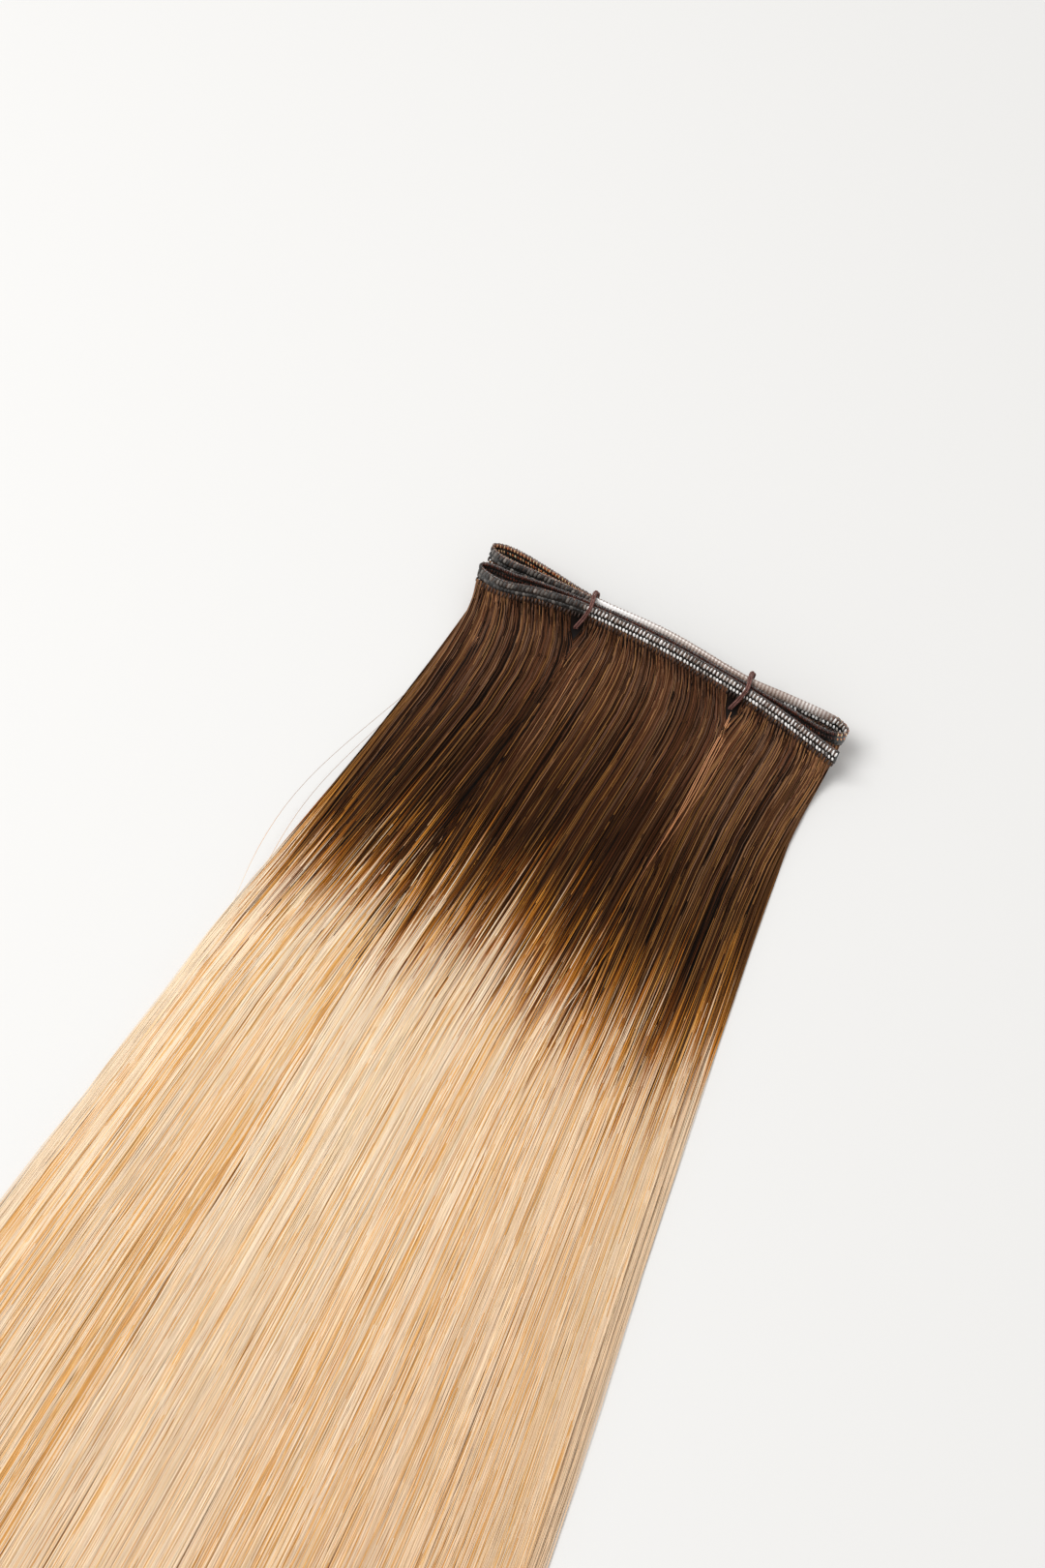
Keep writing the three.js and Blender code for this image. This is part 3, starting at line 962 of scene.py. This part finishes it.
def tie_mesh(place, settings):
    """Two threads side by side round the runs, each of three plies twisted together."""
    middle = tie_line(place)
    ways = unit(np.roll(middle, -1, axis=0) - np.roll(middle, 1, axis=0))
    aside = unit(np.cross(ways, np.cross([1.0, 0, 0], ways)))
    above = np.cross(aside, ways)
    reach = np.linalg.norm(middle - np.roll(middle, 1, axis=0), axis=1).cumsum()
    width = settings.thread_width / MM
    twists = round(reach[-1] / (settings.ply_pitch / MM))
    share = 2 * math.pi * reach / reach[-1]
    lines = []
    for thread in range(TIE_THREADS):
        turn = TIE_SWAY * np.sin(TIE_TURNS * share)
        apart = (thread - 0.5) * width * THREADS_APART
        centre = middle + apart * (np.cos(turn)[:, None] * aside + np.sin(turn)[:, None] * above)
        for ply in range(TIE_PLIES):
            twist = twists * share + 2 * math.pi * ply / TIE_PLIES + thread
            swing = np.cos(twist)[:, None] * aside + np.sin(twist)[:, None] * above
            lines.append(centre + swing * width * PLY_OUT)
    lines = np.array([np.concatenate([line, line[:1]]) for line in lines])
    radii = np.full(lines.shape[:2], width * PLY_RADIUS)
    ply_share = np.arange(len(lines)) / len(lines)
    pairs = np.stack([ply_share + PLY_MAP_MARGIN, ply_share + 1 / len(lines) - PLY_MAP_MARGIN], axis=1)
    v = np.broadcast_to(np.linspace(PLY_MAP_MARGIN, 1 - PLY_MAP_MARGIN, lines.shape[1]), radii.shape)
    points, faces = tube_arrays(lines, radii, PLY_SIDES, pairs, v)
    return mesh_from_arrays(in_frame(points), faces)


# The hair's form


HAIR_SEED = 100

# Strands are drawn through these distances past the root. Past the first stretch, each is drawn in or out to
# its own length.
STRAND_STATIONS = np.concatenate(
    [[-1.2, 2, 6, 11, 18, 27, 42, 60], np.arange(80, 320, 22), [340, 390, 450]]
)
OWN_LENGTH_FROM = 90
SHORTER_MEAN = 7
SHORTER_MOST = 45
STRAND_SIDES = 3
STRAND_WIDTHS = (0.75, 1.2)
TAPER = 0.7
TAPER_FROM = 0.82

# Across a curtain, in shares of its half width: strands gather into wisps, which swing, and each strand
# wanders in a long wave and a fine one. A few cross the others.
WISP_JITTER = (0.1, 0.9)
WISP_WIDTH = 1.4
EDGE_BAND = 0.12
ROOTS_WITHIN = (-0.998, 0.998)
WISP_SWING = 0.0016
SWING_OVER = (30, 300)
WANDER = 0.004
WANDER_FINE = 0.0012
WANDER_OVER = (8, 60)
WAVE_LENGTHS = (110, 320)
CROSSING_SHARE = 0.05
CROSSING_MORE = 3

# In depth, in shares of a curtain's thickness: a wisp's strands lie one over the other, less evenly near the
# root.
LEVEL_DEPTH = 0.9
LEVEL_POWER = 1.4
LEVEL_POWER_MORE = 2.4
SMOOTH_OVER = (80.0, 150.0)
WISP_DEPTH_SPREAD = 0.03
UNEVEN = 0.09
UNEVEN_LESS = 0.6
DEPTHS = (0.06, 1.1)
ROOT_DEPTH = 0.45
ROOT_DEPTH_UNTIL = 10

# Near the root: tufts as far apart as the stitches, holes at the ties, and the lean of the front hair.
TUFT_PITCH = STITCH_PITCH
TUFT_SPREAD = 0.16
TUFT_OVER = (0.5, 9)
HOLE_HALF = 3.4
HOLE_OVER = (5.0, 15.0)
HOLE_ASIDE = -1.6
LEAN_FADE = 35.0
ROOT_LEANS = table(
    "along lean",
    (-64, 0.0),
    (-56, 0.35),
    (-44, 0.5),
    (-30, 0.5),
    (-28, -0.2),
    (-22, 0.05),
    (-10, 0.4),
    (8, 0.5),
    (27, 0.45),
    (29, -0.1),
    (40, 0.08),
    (52, 0.1),
    (64, 0.0),
)

# At the two edges some strands splay out.
SPLAY_FROM = 0.92
SPLAY_MOST = 3.0
SPLAY_OVER = (30, 220)


def hair_fall(past, drop):
    """How far ahead and down a hair is, and how it leans, past its root: round a bend, then level."""
    radius = drop / (1 - math.cos(TRACK_TILT))
    lean = np.maximum(0, TRACK_TILT - past / radius)
    ahead = radius * (math.sin(TRACK_TILT) - np.sin(lean)) + np.maximum(0, past - radius * TRACK_TILT)
    return ahead, radius * (np.cos(lean) - math.cos(TRACK_TILT)), lean


def lock_place(curtain, share):
    return np.clip((share + 1) / 2, 0, LAST_LOCK) * curtain["locks"]


def lock_ridge(curtain, share):
    return np.sin(math.pi * (lock_place(curtain, share) % 1))


def hair_lengths(curtain, layer, share):
    """How long the hair is across the curtain: each lock ends at its own length, longest in its middle."""
    step = np.floor(lock_place(curtain, share)) * LOCK_STRIDE + layer * LAYER_STRIDE
    return HAIR_LENGTH - TIP_SPREAD * (step % 1) - TIP_NOTCH * (1 - lock_ridge(curtain, share))


def hair_points(curtain, layer, root_share, share, past, depth):
    """Points of hair, by the root's and their own share of the width, the way past the root and the depth."""
    edge = 1 - EDGE_THINNING * smoothstep(np.abs(share), EDGE_FROM, 1)
    sheet = smooth_table(HAIR_THICKNESS, "past", "thickness", past) * edge
    bed = layer * (sheet + LAYER_GAP) if layer else 0 * sheet
    near_bed = layer * (HAIR_THICKNESS[0]["thickness"] * edge + LAYER_GAP) if layer else 0 * sheet
    inset = curtain["inset"] * (1 + root_share) / 2
    root_along = root_share * HAIR_ROOT_HALF - inset
    root_height = run_lift(curtain["run"], root_along) - HAIR_ROOT_GAP
    ahead, fallen, lean = hair_fall(past, root_height - near_bed)
    half = smooth_table(HAIR_SPREAD, "past", "half", ahead)
    middle = smooth_table(HAIR_SPREAD, "past", "middle", ahead)
    widened = 1 + (curtain["spread"] - 1) * smoothstep(past, 0, CROWN_FULL)
    ridge = 1 - LOCK_RELIEF * (1 - lock_ridge(curtain, share))
    crown = curtain["crown"] * ridge * smoothstep(past, CROWN_FROM, CROWN_FULL)
    thickness = sheet * (LOCK_VALLEY + (1 - LOCK_VALLEY) * ridge + crown) * depth
    x = middle + share * half * widened - inset * (1 - smoothstep(past, 0, INSET_UNTIL))
    y = run_depth(curtain["run"], root_along) - ahead - np.sin(lean) * thickness
    z = root_height - fallen + bed - near_bed + np.cos(lean) * thickness
    return np.stack(np.broadcast_arrays(x, y, z), axis=-1)


def parted(root_x, past):
    """How far hairs move aside to leave a hole at each tie."""
    aside = 0
    for place in TIE_PLACES.values():
        off = root_x - place - HOLE_ASIDE
        pushed = np.sqrt(off**2 + HOLE_HALF**2) - np.abs(off)
        aside = aside + np.where(off < 0, -1, 1) * pushed * (1 - smoothstep(past, *HOLE_OVER))
    return aside


def wisp_shares(wisps, edge_share, random):
    """Where a curtain's wisps are across its width: a share of them close to its two edges."""
    shares = (np.arange(wisps) + random.uniform(*WISP_JITTER, wisps)) / wisps * 2 - 1
    at_edge = random.uniform(0, 1, wisps) < edge_share
    side = np.where(random.uniform(0, 1, wisps) < 0.5, -1, 1)
    return np.where(at_edge, side * (1 - EDGE_BAND * random.uniform(0, 1, wisps)), shares)


def strand_shares(curtain, count, random):
    """Each strand's wisp and level in it, and its share of the width at its root and along its length."""
    wisps, stations = curtain["wisps"], STRAND_STATIONS
    wisp_share = wisp_shares(wisps, curtain["edges"], random)
    wisp = np.arange(count) % wisps
    level = (np.arange(count) // wisps + random.uniform(0, 1, count)) / math.ceil(count / wisps)
    root_share = wisp_share[wisp] + random.normal(0, WISP_WIDTH / wisps, count)
    root_share = np.clip(root_share, *ROOTS_WITHIN)[:, None]
    swing = random.normal(0, WISP_SWING, wisps)[wisp][:, None] * smoothstep(stations, *SWING_OVER)
    phase = random.uniform(0, 2 * math.pi, (count, 1))
    wave = random.uniform(*WAVE_LENGTHS, (count, 1))
    crossing = 1 + CROSSING_MORE * (random.uniform(0, 1, (count, 1)) < CROSSING_SHARE)
    wander = crossing * random.normal(0, WANDER, (count, 1)) * np.sin(2 * math.pi * stations / wave + phase)
    wander = wander + random.normal(0, WANDER_FINE, (count, len(stations)))
    share = np.clip(root_share + swing + wander * smoothstep(stations, *WANDER_OVER), -1, 1)
    return wisp, level, root_share, share


def strand_lines(curtain, layer, wisp, level, root_share, share, random):
    """The middle lines of a curtain's strands, and how far past the root each point is."""
    count, stations = len(level), STRAND_STATIONS
    length = hair_lengths(curtain, layer, share[:, -1])
    length = length - random.exponential(SHORTER_MEAN, count).clip(0, SHORTER_MOST)
    own = stations * (length / HAIR_LENGTH)[:, None]
    past = np.where(stations < OWN_LENGTH_FROM, stations, own)
    smooth = smoothstep(stations, *SMOOTH_OVER)
    depth = 1 - LEVEL_DEPTH * level[:, None] ** (LEVEL_POWER + LEVEL_POWER_MORE * smooth)
    depth = depth + random.normal(0, WISP_DEPTH_SPREAD, (curtain["wisps"], 1))[wisp]
    uneven = random.normal(0, UNEVEN, (count, len(stations))) * (1 - UNEVEN_LESS * smooth)
    depth = np.clip(depth + uneven, *DEPTHS)
    depth = depth * (ROOT_DEPTH + (1 - ROOT_DEPTH) * smoothstep(past, 0, ROOT_DEPTH_UNTIL))
    lines = hair_points(curtain, layer, root_share, share, past, depth)

    root_x = root_share * HAIR_ROOT_HALF
    tuft = np.floor(root_x / TUFT_PITCH) + 0.5 + random.normal(0, TUFT_SPREAD, root_x.shape)
    gathered = (tuft * TUFT_PITCH - root_x) * (1 - smoothstep(past, *TUFT_OVER))
    lean = straight_table(ROOT_LEANS, "along", "lean", root_x)
    after = np.maximum(past, 0)
    splay = np.sign(root_x) * smoothstep(np.abs(root_share), SPLAY_FROM, 1)
    splay = splay * curtain["splay"] * random.exponential(1, (count, 1)).clip(0, SPLAY_MOST)
    lines[..., 0] += gathered + parted(root_x, past)
    lines[..., 0] += lean * after * np.exp(-after / LEAN_FADE)
    lines[..., 0] += splay * smoothstep(past, *SPLAY_OVER)
    return lines, past


# The hair's tints


# A strand's tint goes from 0, dark, to 1. It depends on the strand, its wisp, its lock and its level: deeper
# levels and the valleys between locks are darker, as painted shade. A few strands are nearly black, partly
# painted shade in the gaps of the dark root, and some at the very edges are light, as painted light.
TINT_MEAN = 0.44
TINT_SPREAD = 0.24
TINT_WISP_SPREAD = 0.06
VALLEY_SHADE = 0.06
RIDGE_MEAN = 0.6
LEVEL_SHADE = 0.35
LEVEL_MEAN = 0.15
TINTS = (0.07, 0.87)
BLACK_SHARE = 0.06
BLACK_TINT = 0.05
LIGHT_FROM = 0.99
LIGHT_SHARE = 0.6
LIGHT_TINTS = (0.7, 0.86)
# Curtains behind the front one are lighter, as painted light where their edges show.
INNER_LIGHTER = 0.1
INNER_TINTS = (0.3, 0.62)
# Along the track, some stretches of hair are darker, as painted shade, and some lighter, as painted sheen.
SHADE_AND_SHEEN_BY_ROOT = table(
    "along tint",
    (-64, 0.0),
    (-50, -0.02),
    (-36, -0.05),
    (-29, -0.12),
    (-26, 0.1),
    (-14, 0.06),
    (2, 0.02),
    (14, -0.07),
    (26, -0.04),
    (33, 0.1),
    (46, 0.06),
    (56, -0.04),
    (64, 0.1),
)

# More of the strands are deep in tone towards the right, and the fade is later there but sooner at the edge.
DEEP_FROM = (-0.3, 0.8)
DEEP_MOST = 0.95
SHIFT_SPREAD = 13
SHIFT_WISP_SPREAD = 5
SHIFTS = (-42, 42)
LATER_RIGHT = 5.0
LATER_FROM = (0, 0.9)
SOONER_EDGE = 14.0
SOONER_FROM = (0.88, 0.97)


def strand_tints(curtain, wisp, level, root_share, random):
    """Each strand's place across the pattern map, and how much later than the others it fades."""
    count, wisps, place = len(level), curtain["wisps"], root_share[:, 0]
    tint = TINT_MEAN + random.normal(0, TINT_SPREAD, count) + random.normal(0, TINT_WISP_SPREAD, wisps)[wisp]
    # Strands in the valleys between locks are darker: painted shade.
    tint = tint + VALLEY_SHADE * (lock_ridge(curtain, place) - RIDGE_MEAN)
    # Deeper strands are darker: painted shade under the strands above them.
    tint = tint - LEVEL_SHADE * (level - LEVEL_MEAN)
    # Painted shade and sheen, by where the strand's root is.
    tint = tint + straight_table(SHADE_AND_SHEEN_BY_ROOT, "along", "tint", place * HAIR_ROOT_HALF)
    # Nearly black strands stand partly for painted shade in the gaps of the dark root.
    tint = np.where(random.uniform(0, 1, count) < BLACK_SHARE, BLACK_TINT, np.clip(tint, *TINTS))
    # Inner curtains take lighter tints: painted light at their edges.
    if curtain["node"] != FRONT:
        tint = np.clip(tint + INNER_LIGHTER, *INNER_TINTS)
    # Some strands at the very edges are light: painted light on the edge.
    light = (np.abs(place) > LIGHT_FROM) & (random.uniform(0, 1, count) < LIGHT_SHARE)
    tint = np.where(light, random.uniform(*LIGHT_TINTS, count), tint)
    deeper = random.uniform(0, 1, count) < DEEP_MOST * smoothstep(place, *DEEP_FROM)
    shift = random.normal(0, SHIFT_SPREAD, count) + random.normal(0, SHIFT_WISP_SPREAD, wisps)[wisp]
    shift = shift + LATER_RIGHT * smoothstep(place, *LATER_FROM)
    shift = shift - SOONER_EDGE * smoothstep(place, *SOONER_FROM)
    return (tint + deeper) / 2, np.clip(shift, *SHIFTS)


# The hair's pieces


def strand_radii(past, width, random):
    """Each strand has its own thickness along its length, and is fine at the tip."""
    own = random.uniform(*STRAND_WIDTHS, (len(past), 1)) * width / 2
    return own * (1 - TAPER * smoothstep(past / past[:, -1:], TAPER_FROM, 1))


def strands_mesh(lines, past, tint, shift, width, random):
    radii = strand_radii(past, width, random)
    column = np.floor(tint * TINT_COLUMNS)
    pairs = np.stack([column + inside for inside in TINT_INSIDE], axis=1) / TINT_COLUMNS
    v = (past - shift[:, None] + MAP_BEFORE) / MAP_SPAN
    points, faces = tube_arrays(lines, radii, STRAND_SIDES, pairs, v)
    return mesh_from_arrays(in_frame(points), faces)


# The sheet under a curtain's strands: it is dark between them, as painted shade, and lighter in its outer
# columns, as painted light.
SHEET_ROWS = 30
SHEET_COLUMNS_PER_LOCK = 4
SHEET_WIDTH = 1.004
SHEET_LOW = 0.04
SHEET_HIGH = 0.4
SHEET_SHORTER = 12.0
SHEET_CLOSES = 20.0
SHEET_SHADE_TINTS = (0.0075, 0.03)
SHEET_EDGE_TINTS = (0.4, 0.54)
SHEET_EDGE_COLUMNS = 4


def under_sheet(curtain, layer):
    """The body of a curtain under its strands, dark as painted shade: a flat sheet, folded at the tips and
    closed at its border.
    """
    columns = curtain["locks"] * SHEET_COLUMNS_PER_LOCK

    def place(u, v):
        share = (2 * u - 1) * SHEET_WIDTH
        down = 1 - np.abs(2 * v - 1)
        past = down**2 * (hair_lengths(curtain, layer, share) - SHEET_SHORTER)
        border = np.minimum(np.minimum(u, 1 - u), np.minimum(down, 1 - down))
        inside = np.where(v < 0.5, np.minimum(1, SHEET_CLOSES * border), 0)
        depth = SHEET_LOW + inside * (SHEET_HIGH - SHEET_LOW)
        return hair_points(curtain, layer, share, share, past, depth)

    grid = shaped_grid(columns, 2 * SHEET_ROWS, place)
    layer_uv = grid.loops.layers.uv.active
    for face in grid.faces:
        for loop in face.loops:
            u, v = loop[layer_uv].uv
            past = (1 - abs(2 * v - 1)) ** 2 * HAIR_LENGTH
            column = round(u * columns)
            # Inner columns take the darkest tints, painted shade in the gaps between strands; the outer ones
            # are lighter, painted light.
            inside = SHEET_EDGE_COLUMNS < column < columns - SHEET_EDGE_COLUMNS
            tints = SHEET_SHADE_TINTS if inside else SHEET_EDGE_TINTS
            loop[layer_uv].uv = (tints[column % 2], (past + MAP_BEFORE) / MAP_SPAN)
    bmesh.ops.remove_doubles(grid, verts=grid.verts, dist=MERGE * MM)
    bmesh.ops.recalc_face_normals(grid, faces=grid.faces)
    return finished(grid)


# Loose hairs: pale ones that bow out past the two edges, and copper ones over the front below the ties, as a
# painted highlight.
STRAYS = table(
    "share from to away rise tint width",
    (-0.992, 26, 150, -10.5, 3.0, 0.44, 0.55),
    (-0.99, 34, 138, -6.5, 2.0, 0.44, 0.55),
    (-0.99, 40, 120, -3.2, 1.0, 0.44, 0.55),
    (-0.995, 110, 240, -2.6, 1.0, 0.44, 0.55),
    (-0.99, 170, 360, -4.0, 1.0, 0.44, 0.55),
    (-0.995, 90, 210, -1.4, 0.6, 0.44, 0.55),
    (0.99, 100, 215, 2.4, 0.8, 0.44, 0.55),
    (0.995, 140, 290, 2.6, 0.8, 0.44, 0.55),
    (0.99, 60, 150, 1.0, 0.6, 0.44, 0.55),
    (0.992, 230, 420, 2.0, 0.6, 0.44, 0.55),
    (0.451, 6, 74, 2.2, 1.1, 0.495, 1.1),
    (0.458, 8, 68, 2.3, 1.1, 0.495, 1.2),
    (0.47, 9, 58, 2.2, 1.0, 0.49, 0.8),
    (0.49, 14, 62, 1.8, 0.9, 0.485, 0.8),
    (0.52, 12, 46, 1.4, 0.9, 0.485, 0.7),
    (-0.35, 14, 62, 1.2, 0.9, 0.48, 0.8),
    (-0.31, 22, 70, 1.2, 0.9, 0.475, 0.8),
)
STRAY_SEED = 300
STRAY_STATIONS = 24
STRAY_DEPTH = 1.12
BOW_LATER = 1.3
BOW_EASES = 1.2


def stray_lines(curtain, layer):
    """Loose hairs that bow out from a curtain and come back to it."""
    lines, pasts = [], []
    for row in STRAYS:
        t = np.linspace(0, 1, STRAY_STATIONS)
        past = row["from"] + (row["to"] - row["from"]) * t
        share = np.full_like(t, row["share"])
        line = hair_points(curtain, layer, share, share, past, STRAY_DEPTH)
        bow = np.sin(math.pi * t**BOW_LATER) ** BOW_EASES
        line[:, 0] += row["away"] * bow
        line[:, 2] += row["rise"] * bow
        lines.append(line)
        pasts.append(past)
    return np.array(lines), np.array(pasts)


# Operators


class WEFT_OT_make_track(bpy.types.Operator):
    """Builds the coated track with its rows of stitches"""

    bl_idname = "weft.make_track"
    bl_label = "Sewn track"

    def execute(self, context):
        settings = context.scene.weft_track
        pitch = settings.stitch_pitch / MM
        glossy = stitch_rows(COATED_ROWS, pitch, FACE_SEED, (MATT_END, math.inf))
        dull = stitch_rows(COATED_ROWS, pitch, FACE_SEED, (-math.inf, MATT_END))
        edge = stitch_rows(EDGE_ROWS, pitch, EDGE_SEED)
        reverse = stitch_rows(REVERSE_ROWS, pitch, REVERSE_SEED)
        pieces = (
            ("strip", track_core(), coat_material(settings)),
            ("stitches", glossy, coated_stitches(settings)),
            ("matt_stitches", dull, matt_stitches()),
            # The coating piece carries a painted reflection in its pale tone.
            ("coating", cloudy_coating(), painted_sheen_ridge_material()),
            ("edge", edge, edge_thread(settings)),
            ("reverse", reverse, reverse_stitches(settings)),
        )
        for ending, mesh, material in pieces:
            shown("weft_band_" + ending, mesh, material, "weft_band")
        return {"FINISHED"}


class WEFT_OT_make_ties(bpy.types.Operator):
    """Builds the two thread ties"""

    bl_idname = "weft.make_ties"
    bl_label = "Thread ties"

    def execute(self, context):
        settings = context.scene.weft_tie
        material = thread_material(settings)
        for node, place in TIE_PLACES.items():
            shown(node + "_thread", tie_mesh(place, settings), material, node)
        return {"FINISHED"}


class WEFT_OT_make_hair(bpy.types.Operator):
    """Builds the four curtains of hair"""

    bl_idname = "weft.make_hair"
    bl_label = "Hair"

    def execute(self, context):
        settings = context.scene.weft_hair
        material = hair_material(settings)
        width = settings.strand_width / MM
        for layer, curtain in enumerate(CURTAINS):
            node = curtain["node"]
            random = np.random.default_rng(HAIR_SEED + layer)
            shown(node + "_sheet", under_sheet(curtain, layer), material, node)
            count = settings.front_strands if node == FRONT else settings.inner_strands
            wisp, level, root_share, share = strand_shares(curtain, count, random)
            lines, past = strand_lines(curtain, layer, wisp, level, root_share, share, random)
            tint, shift = strand_tints(curtain, wisp, level, root_share, random)
            order = np.argsort(lines[:, 0, 0])
            for number, chosen in enumerate(np.array_split(order, curtain["pieces"]), 1):
                strands = (values[chosen] for values in (lines, past, tint, shift))
                mesh = strands_mesh(*strands, width, random)
                shown(f"{node}_strands_{number}", mesh, material, node)
        return {"FINISHED"}


class WEFT_OT_make_strays(bpy.types.Operator):
    """Builds the loose hairs along the edges and over the front"""

    bl_idname = "weft.make_strays"
    bl_label = "Loose hairs"

    def execute(self, context):
        settings = context.scene.weft_hair
        layer = len(CURTAINS) - 1
        lines, past = stray_lines(CURTAINS[layer], layer)
        random = np.random.default_rng(STRAY_SEED)
        tint = np.array([row["tint"] for row in STRAYS])
        shift = np.zeros(len(lines))
        width = settings.strand_width / MM * np.array([[row["width"]] for row in STRAYS])
        mesh = strands_mesh(lines, past, tint, shift, width, random)
        shown("hair_front_strays", mesh, bpy.data.materials[HAIR_MATERIAL], FRONT)
        return {"FINISHED"}


# The stage: the floor's and the key light's sizes are in metres.
CAMERA_LOOKS_AT = np.array([-18.6, -59.9, 0.0])
SENSOR = 36.0
FLOOR_HALF = 3.0
FLOOR_DROP = 0.3
KEY_SIZE = 1.05
KEY_DISTANCE = 2.1
KEY_POWER = 32.0
KEY_LEFT = 0.42
KEY_BEHIND = 0.02
KEY_UP = 0.86
AMBIENT = 0.65


def lay_floor(scene, settings):
    """A matt white board, just below the part."""
    floor = bmesh.new()
    bmesh.ops.create_grid(floor, x_segments=1, y_segments=1, size=FLOOR_HALF)
    bmesh.ops.translate(floor, verts=floor.verts, vec=(0, 0, -FLOOR_DROP * MM))
    mesh = finished(floor)
    mesh.name = "floor"
    values = {"Base Color": opaque(settings.floor_colour), "Roughness": 0.8}
    mesh.materials.append(new_material("matt_white_board", values)[0])
    stage = bpy.data.objects.new("floor", mesh)
    scene.collection.objects.link(stage)


def aim_camera(scene, settings, target):
    a, e = settings.azimuth, settings.elevation
    back = Vector((math.sin(a) * math.cos(e), -math.cos(a) * math.cos(e), math.sin(e)))
    right = Vector((math.cos(a), math.sin(a), 0))
    up = back.cross(right)
    turn = Matrix((right, up, back)).transposed().to_4x4()
    camera = bpy.data.objects.new("camera", bpy.data.cameras.new("camera"))
    scene.collection.objects.link(camera)
    camera.matrix_world = Matrix.Translation(target + back * settings.distance) @ turn
    camera.data.lens = settings.lens
    camera.data.sensor_width = SENSOR
    scene.camera = camera


def light_room(scene, settings, target):
    """A pale room, and one soft light from above and from the camera's left."""
    world = bpy.data.worlds.new("soft_room")
    world.use_nodes = True
    background = world.node_tree.nodes["Background"]
    background.inputs["Color"].default_value = opaque(linear("#ffffff"))
    background.inputs["Strength"].default_value = AMBIENT
    scene.world = world
    key = bpy.data.lights.new("soft_key", "AREA")
    key.size = KEY_SIZE
    key.energy = KEY_POWER
    lamp = bpy.data.objects.new("soft_key", key)
    a = settings.azimuth
    right = Vector((math.cos(a), math.sin(a), 0))
    behind = Vector((-math.sin(a), math.cos(a), 0))
    way = (Vector((0, 0, KEY_UP)) - right * KEY_LEFT + behind * KEY_BEHIND).normalized()
    lamp.location = target + way * KEY_DISTANCE
    lamp.rotation_euler = way.to_track_quat("Z", "Y").to_euler()
    scene.collection.objects.link(lamp)
    scene.view_settings.view_transform = "Standard"


class WEFT_OT_make_stage(bpy.types.Operator):
    """Lays the floor and sets the light and the camera"""

    bl_idname = "weft.make_stage"
    bl_label = "Stage"

    def execute(self, context):
        settings = context.scene.weft_stage
        target = Vector(in_frame(CAMERA_LOOKS_AT))
        lay_floor(context.scene, settings)
        aim_camera(context.scene, settings, target)
        light_room(context.scene, settings, target)
        return {"FINISHED"}


OPERATORS = (
    WEFT_OT_make_stage,
    WEFT_OT_make_track,
    WEFT_OT_make_ties,
    WEFT_OT_make_hair,
    WEFT_OT_make_strays,
)


class WEFT_PT_sidebar(bpy.types.Panel):
    """Lists what dresses the weft, and its settings"""

    bl_idname = "WEFT_PT_sidebar"
    bl_label = "Hair Weft"
    bl_space_type = "VIEW_3D"
    bl_region_type = "UI"
    bl_category = "Hair Weft"

    def draw(self, context):
        for operator in OPERATORS:
            self.layout.operator(operator.bl_idname)
        for group in SETTINGS:
            box = self.layout.box()
            settings = getattr(context.scene, group)
            for name in settings.__annotations__:
                box.prop(settings, name)


CLASSES = (*SETTINGS.values(), *OPERATORS, WEFT_PT_sidebar)


def register():
    for kind in CLASSES:
        bpy.utils.register_class(kind)
    for name, kind in SETTINGS.items():
        setattr(bpy.types.Scene, name, PointerProperty(type=kind))


def unregister():
    for name in SETTINGS:
        delattr(bpy.types.Scene, name)
    for kind in reversed(CLASSES):
        bpy.utils.unregister_class(kind)


def main():
    register()
    bpy.ops.weft.make_stage()
    bpy.ops.weft.make_track()
    bpy.ops.weft.make_ties()
    bpy.ops.weft.make_hair()
    bpy.ops.weft.make_strays()


if __name__ == "__main__":
    main()
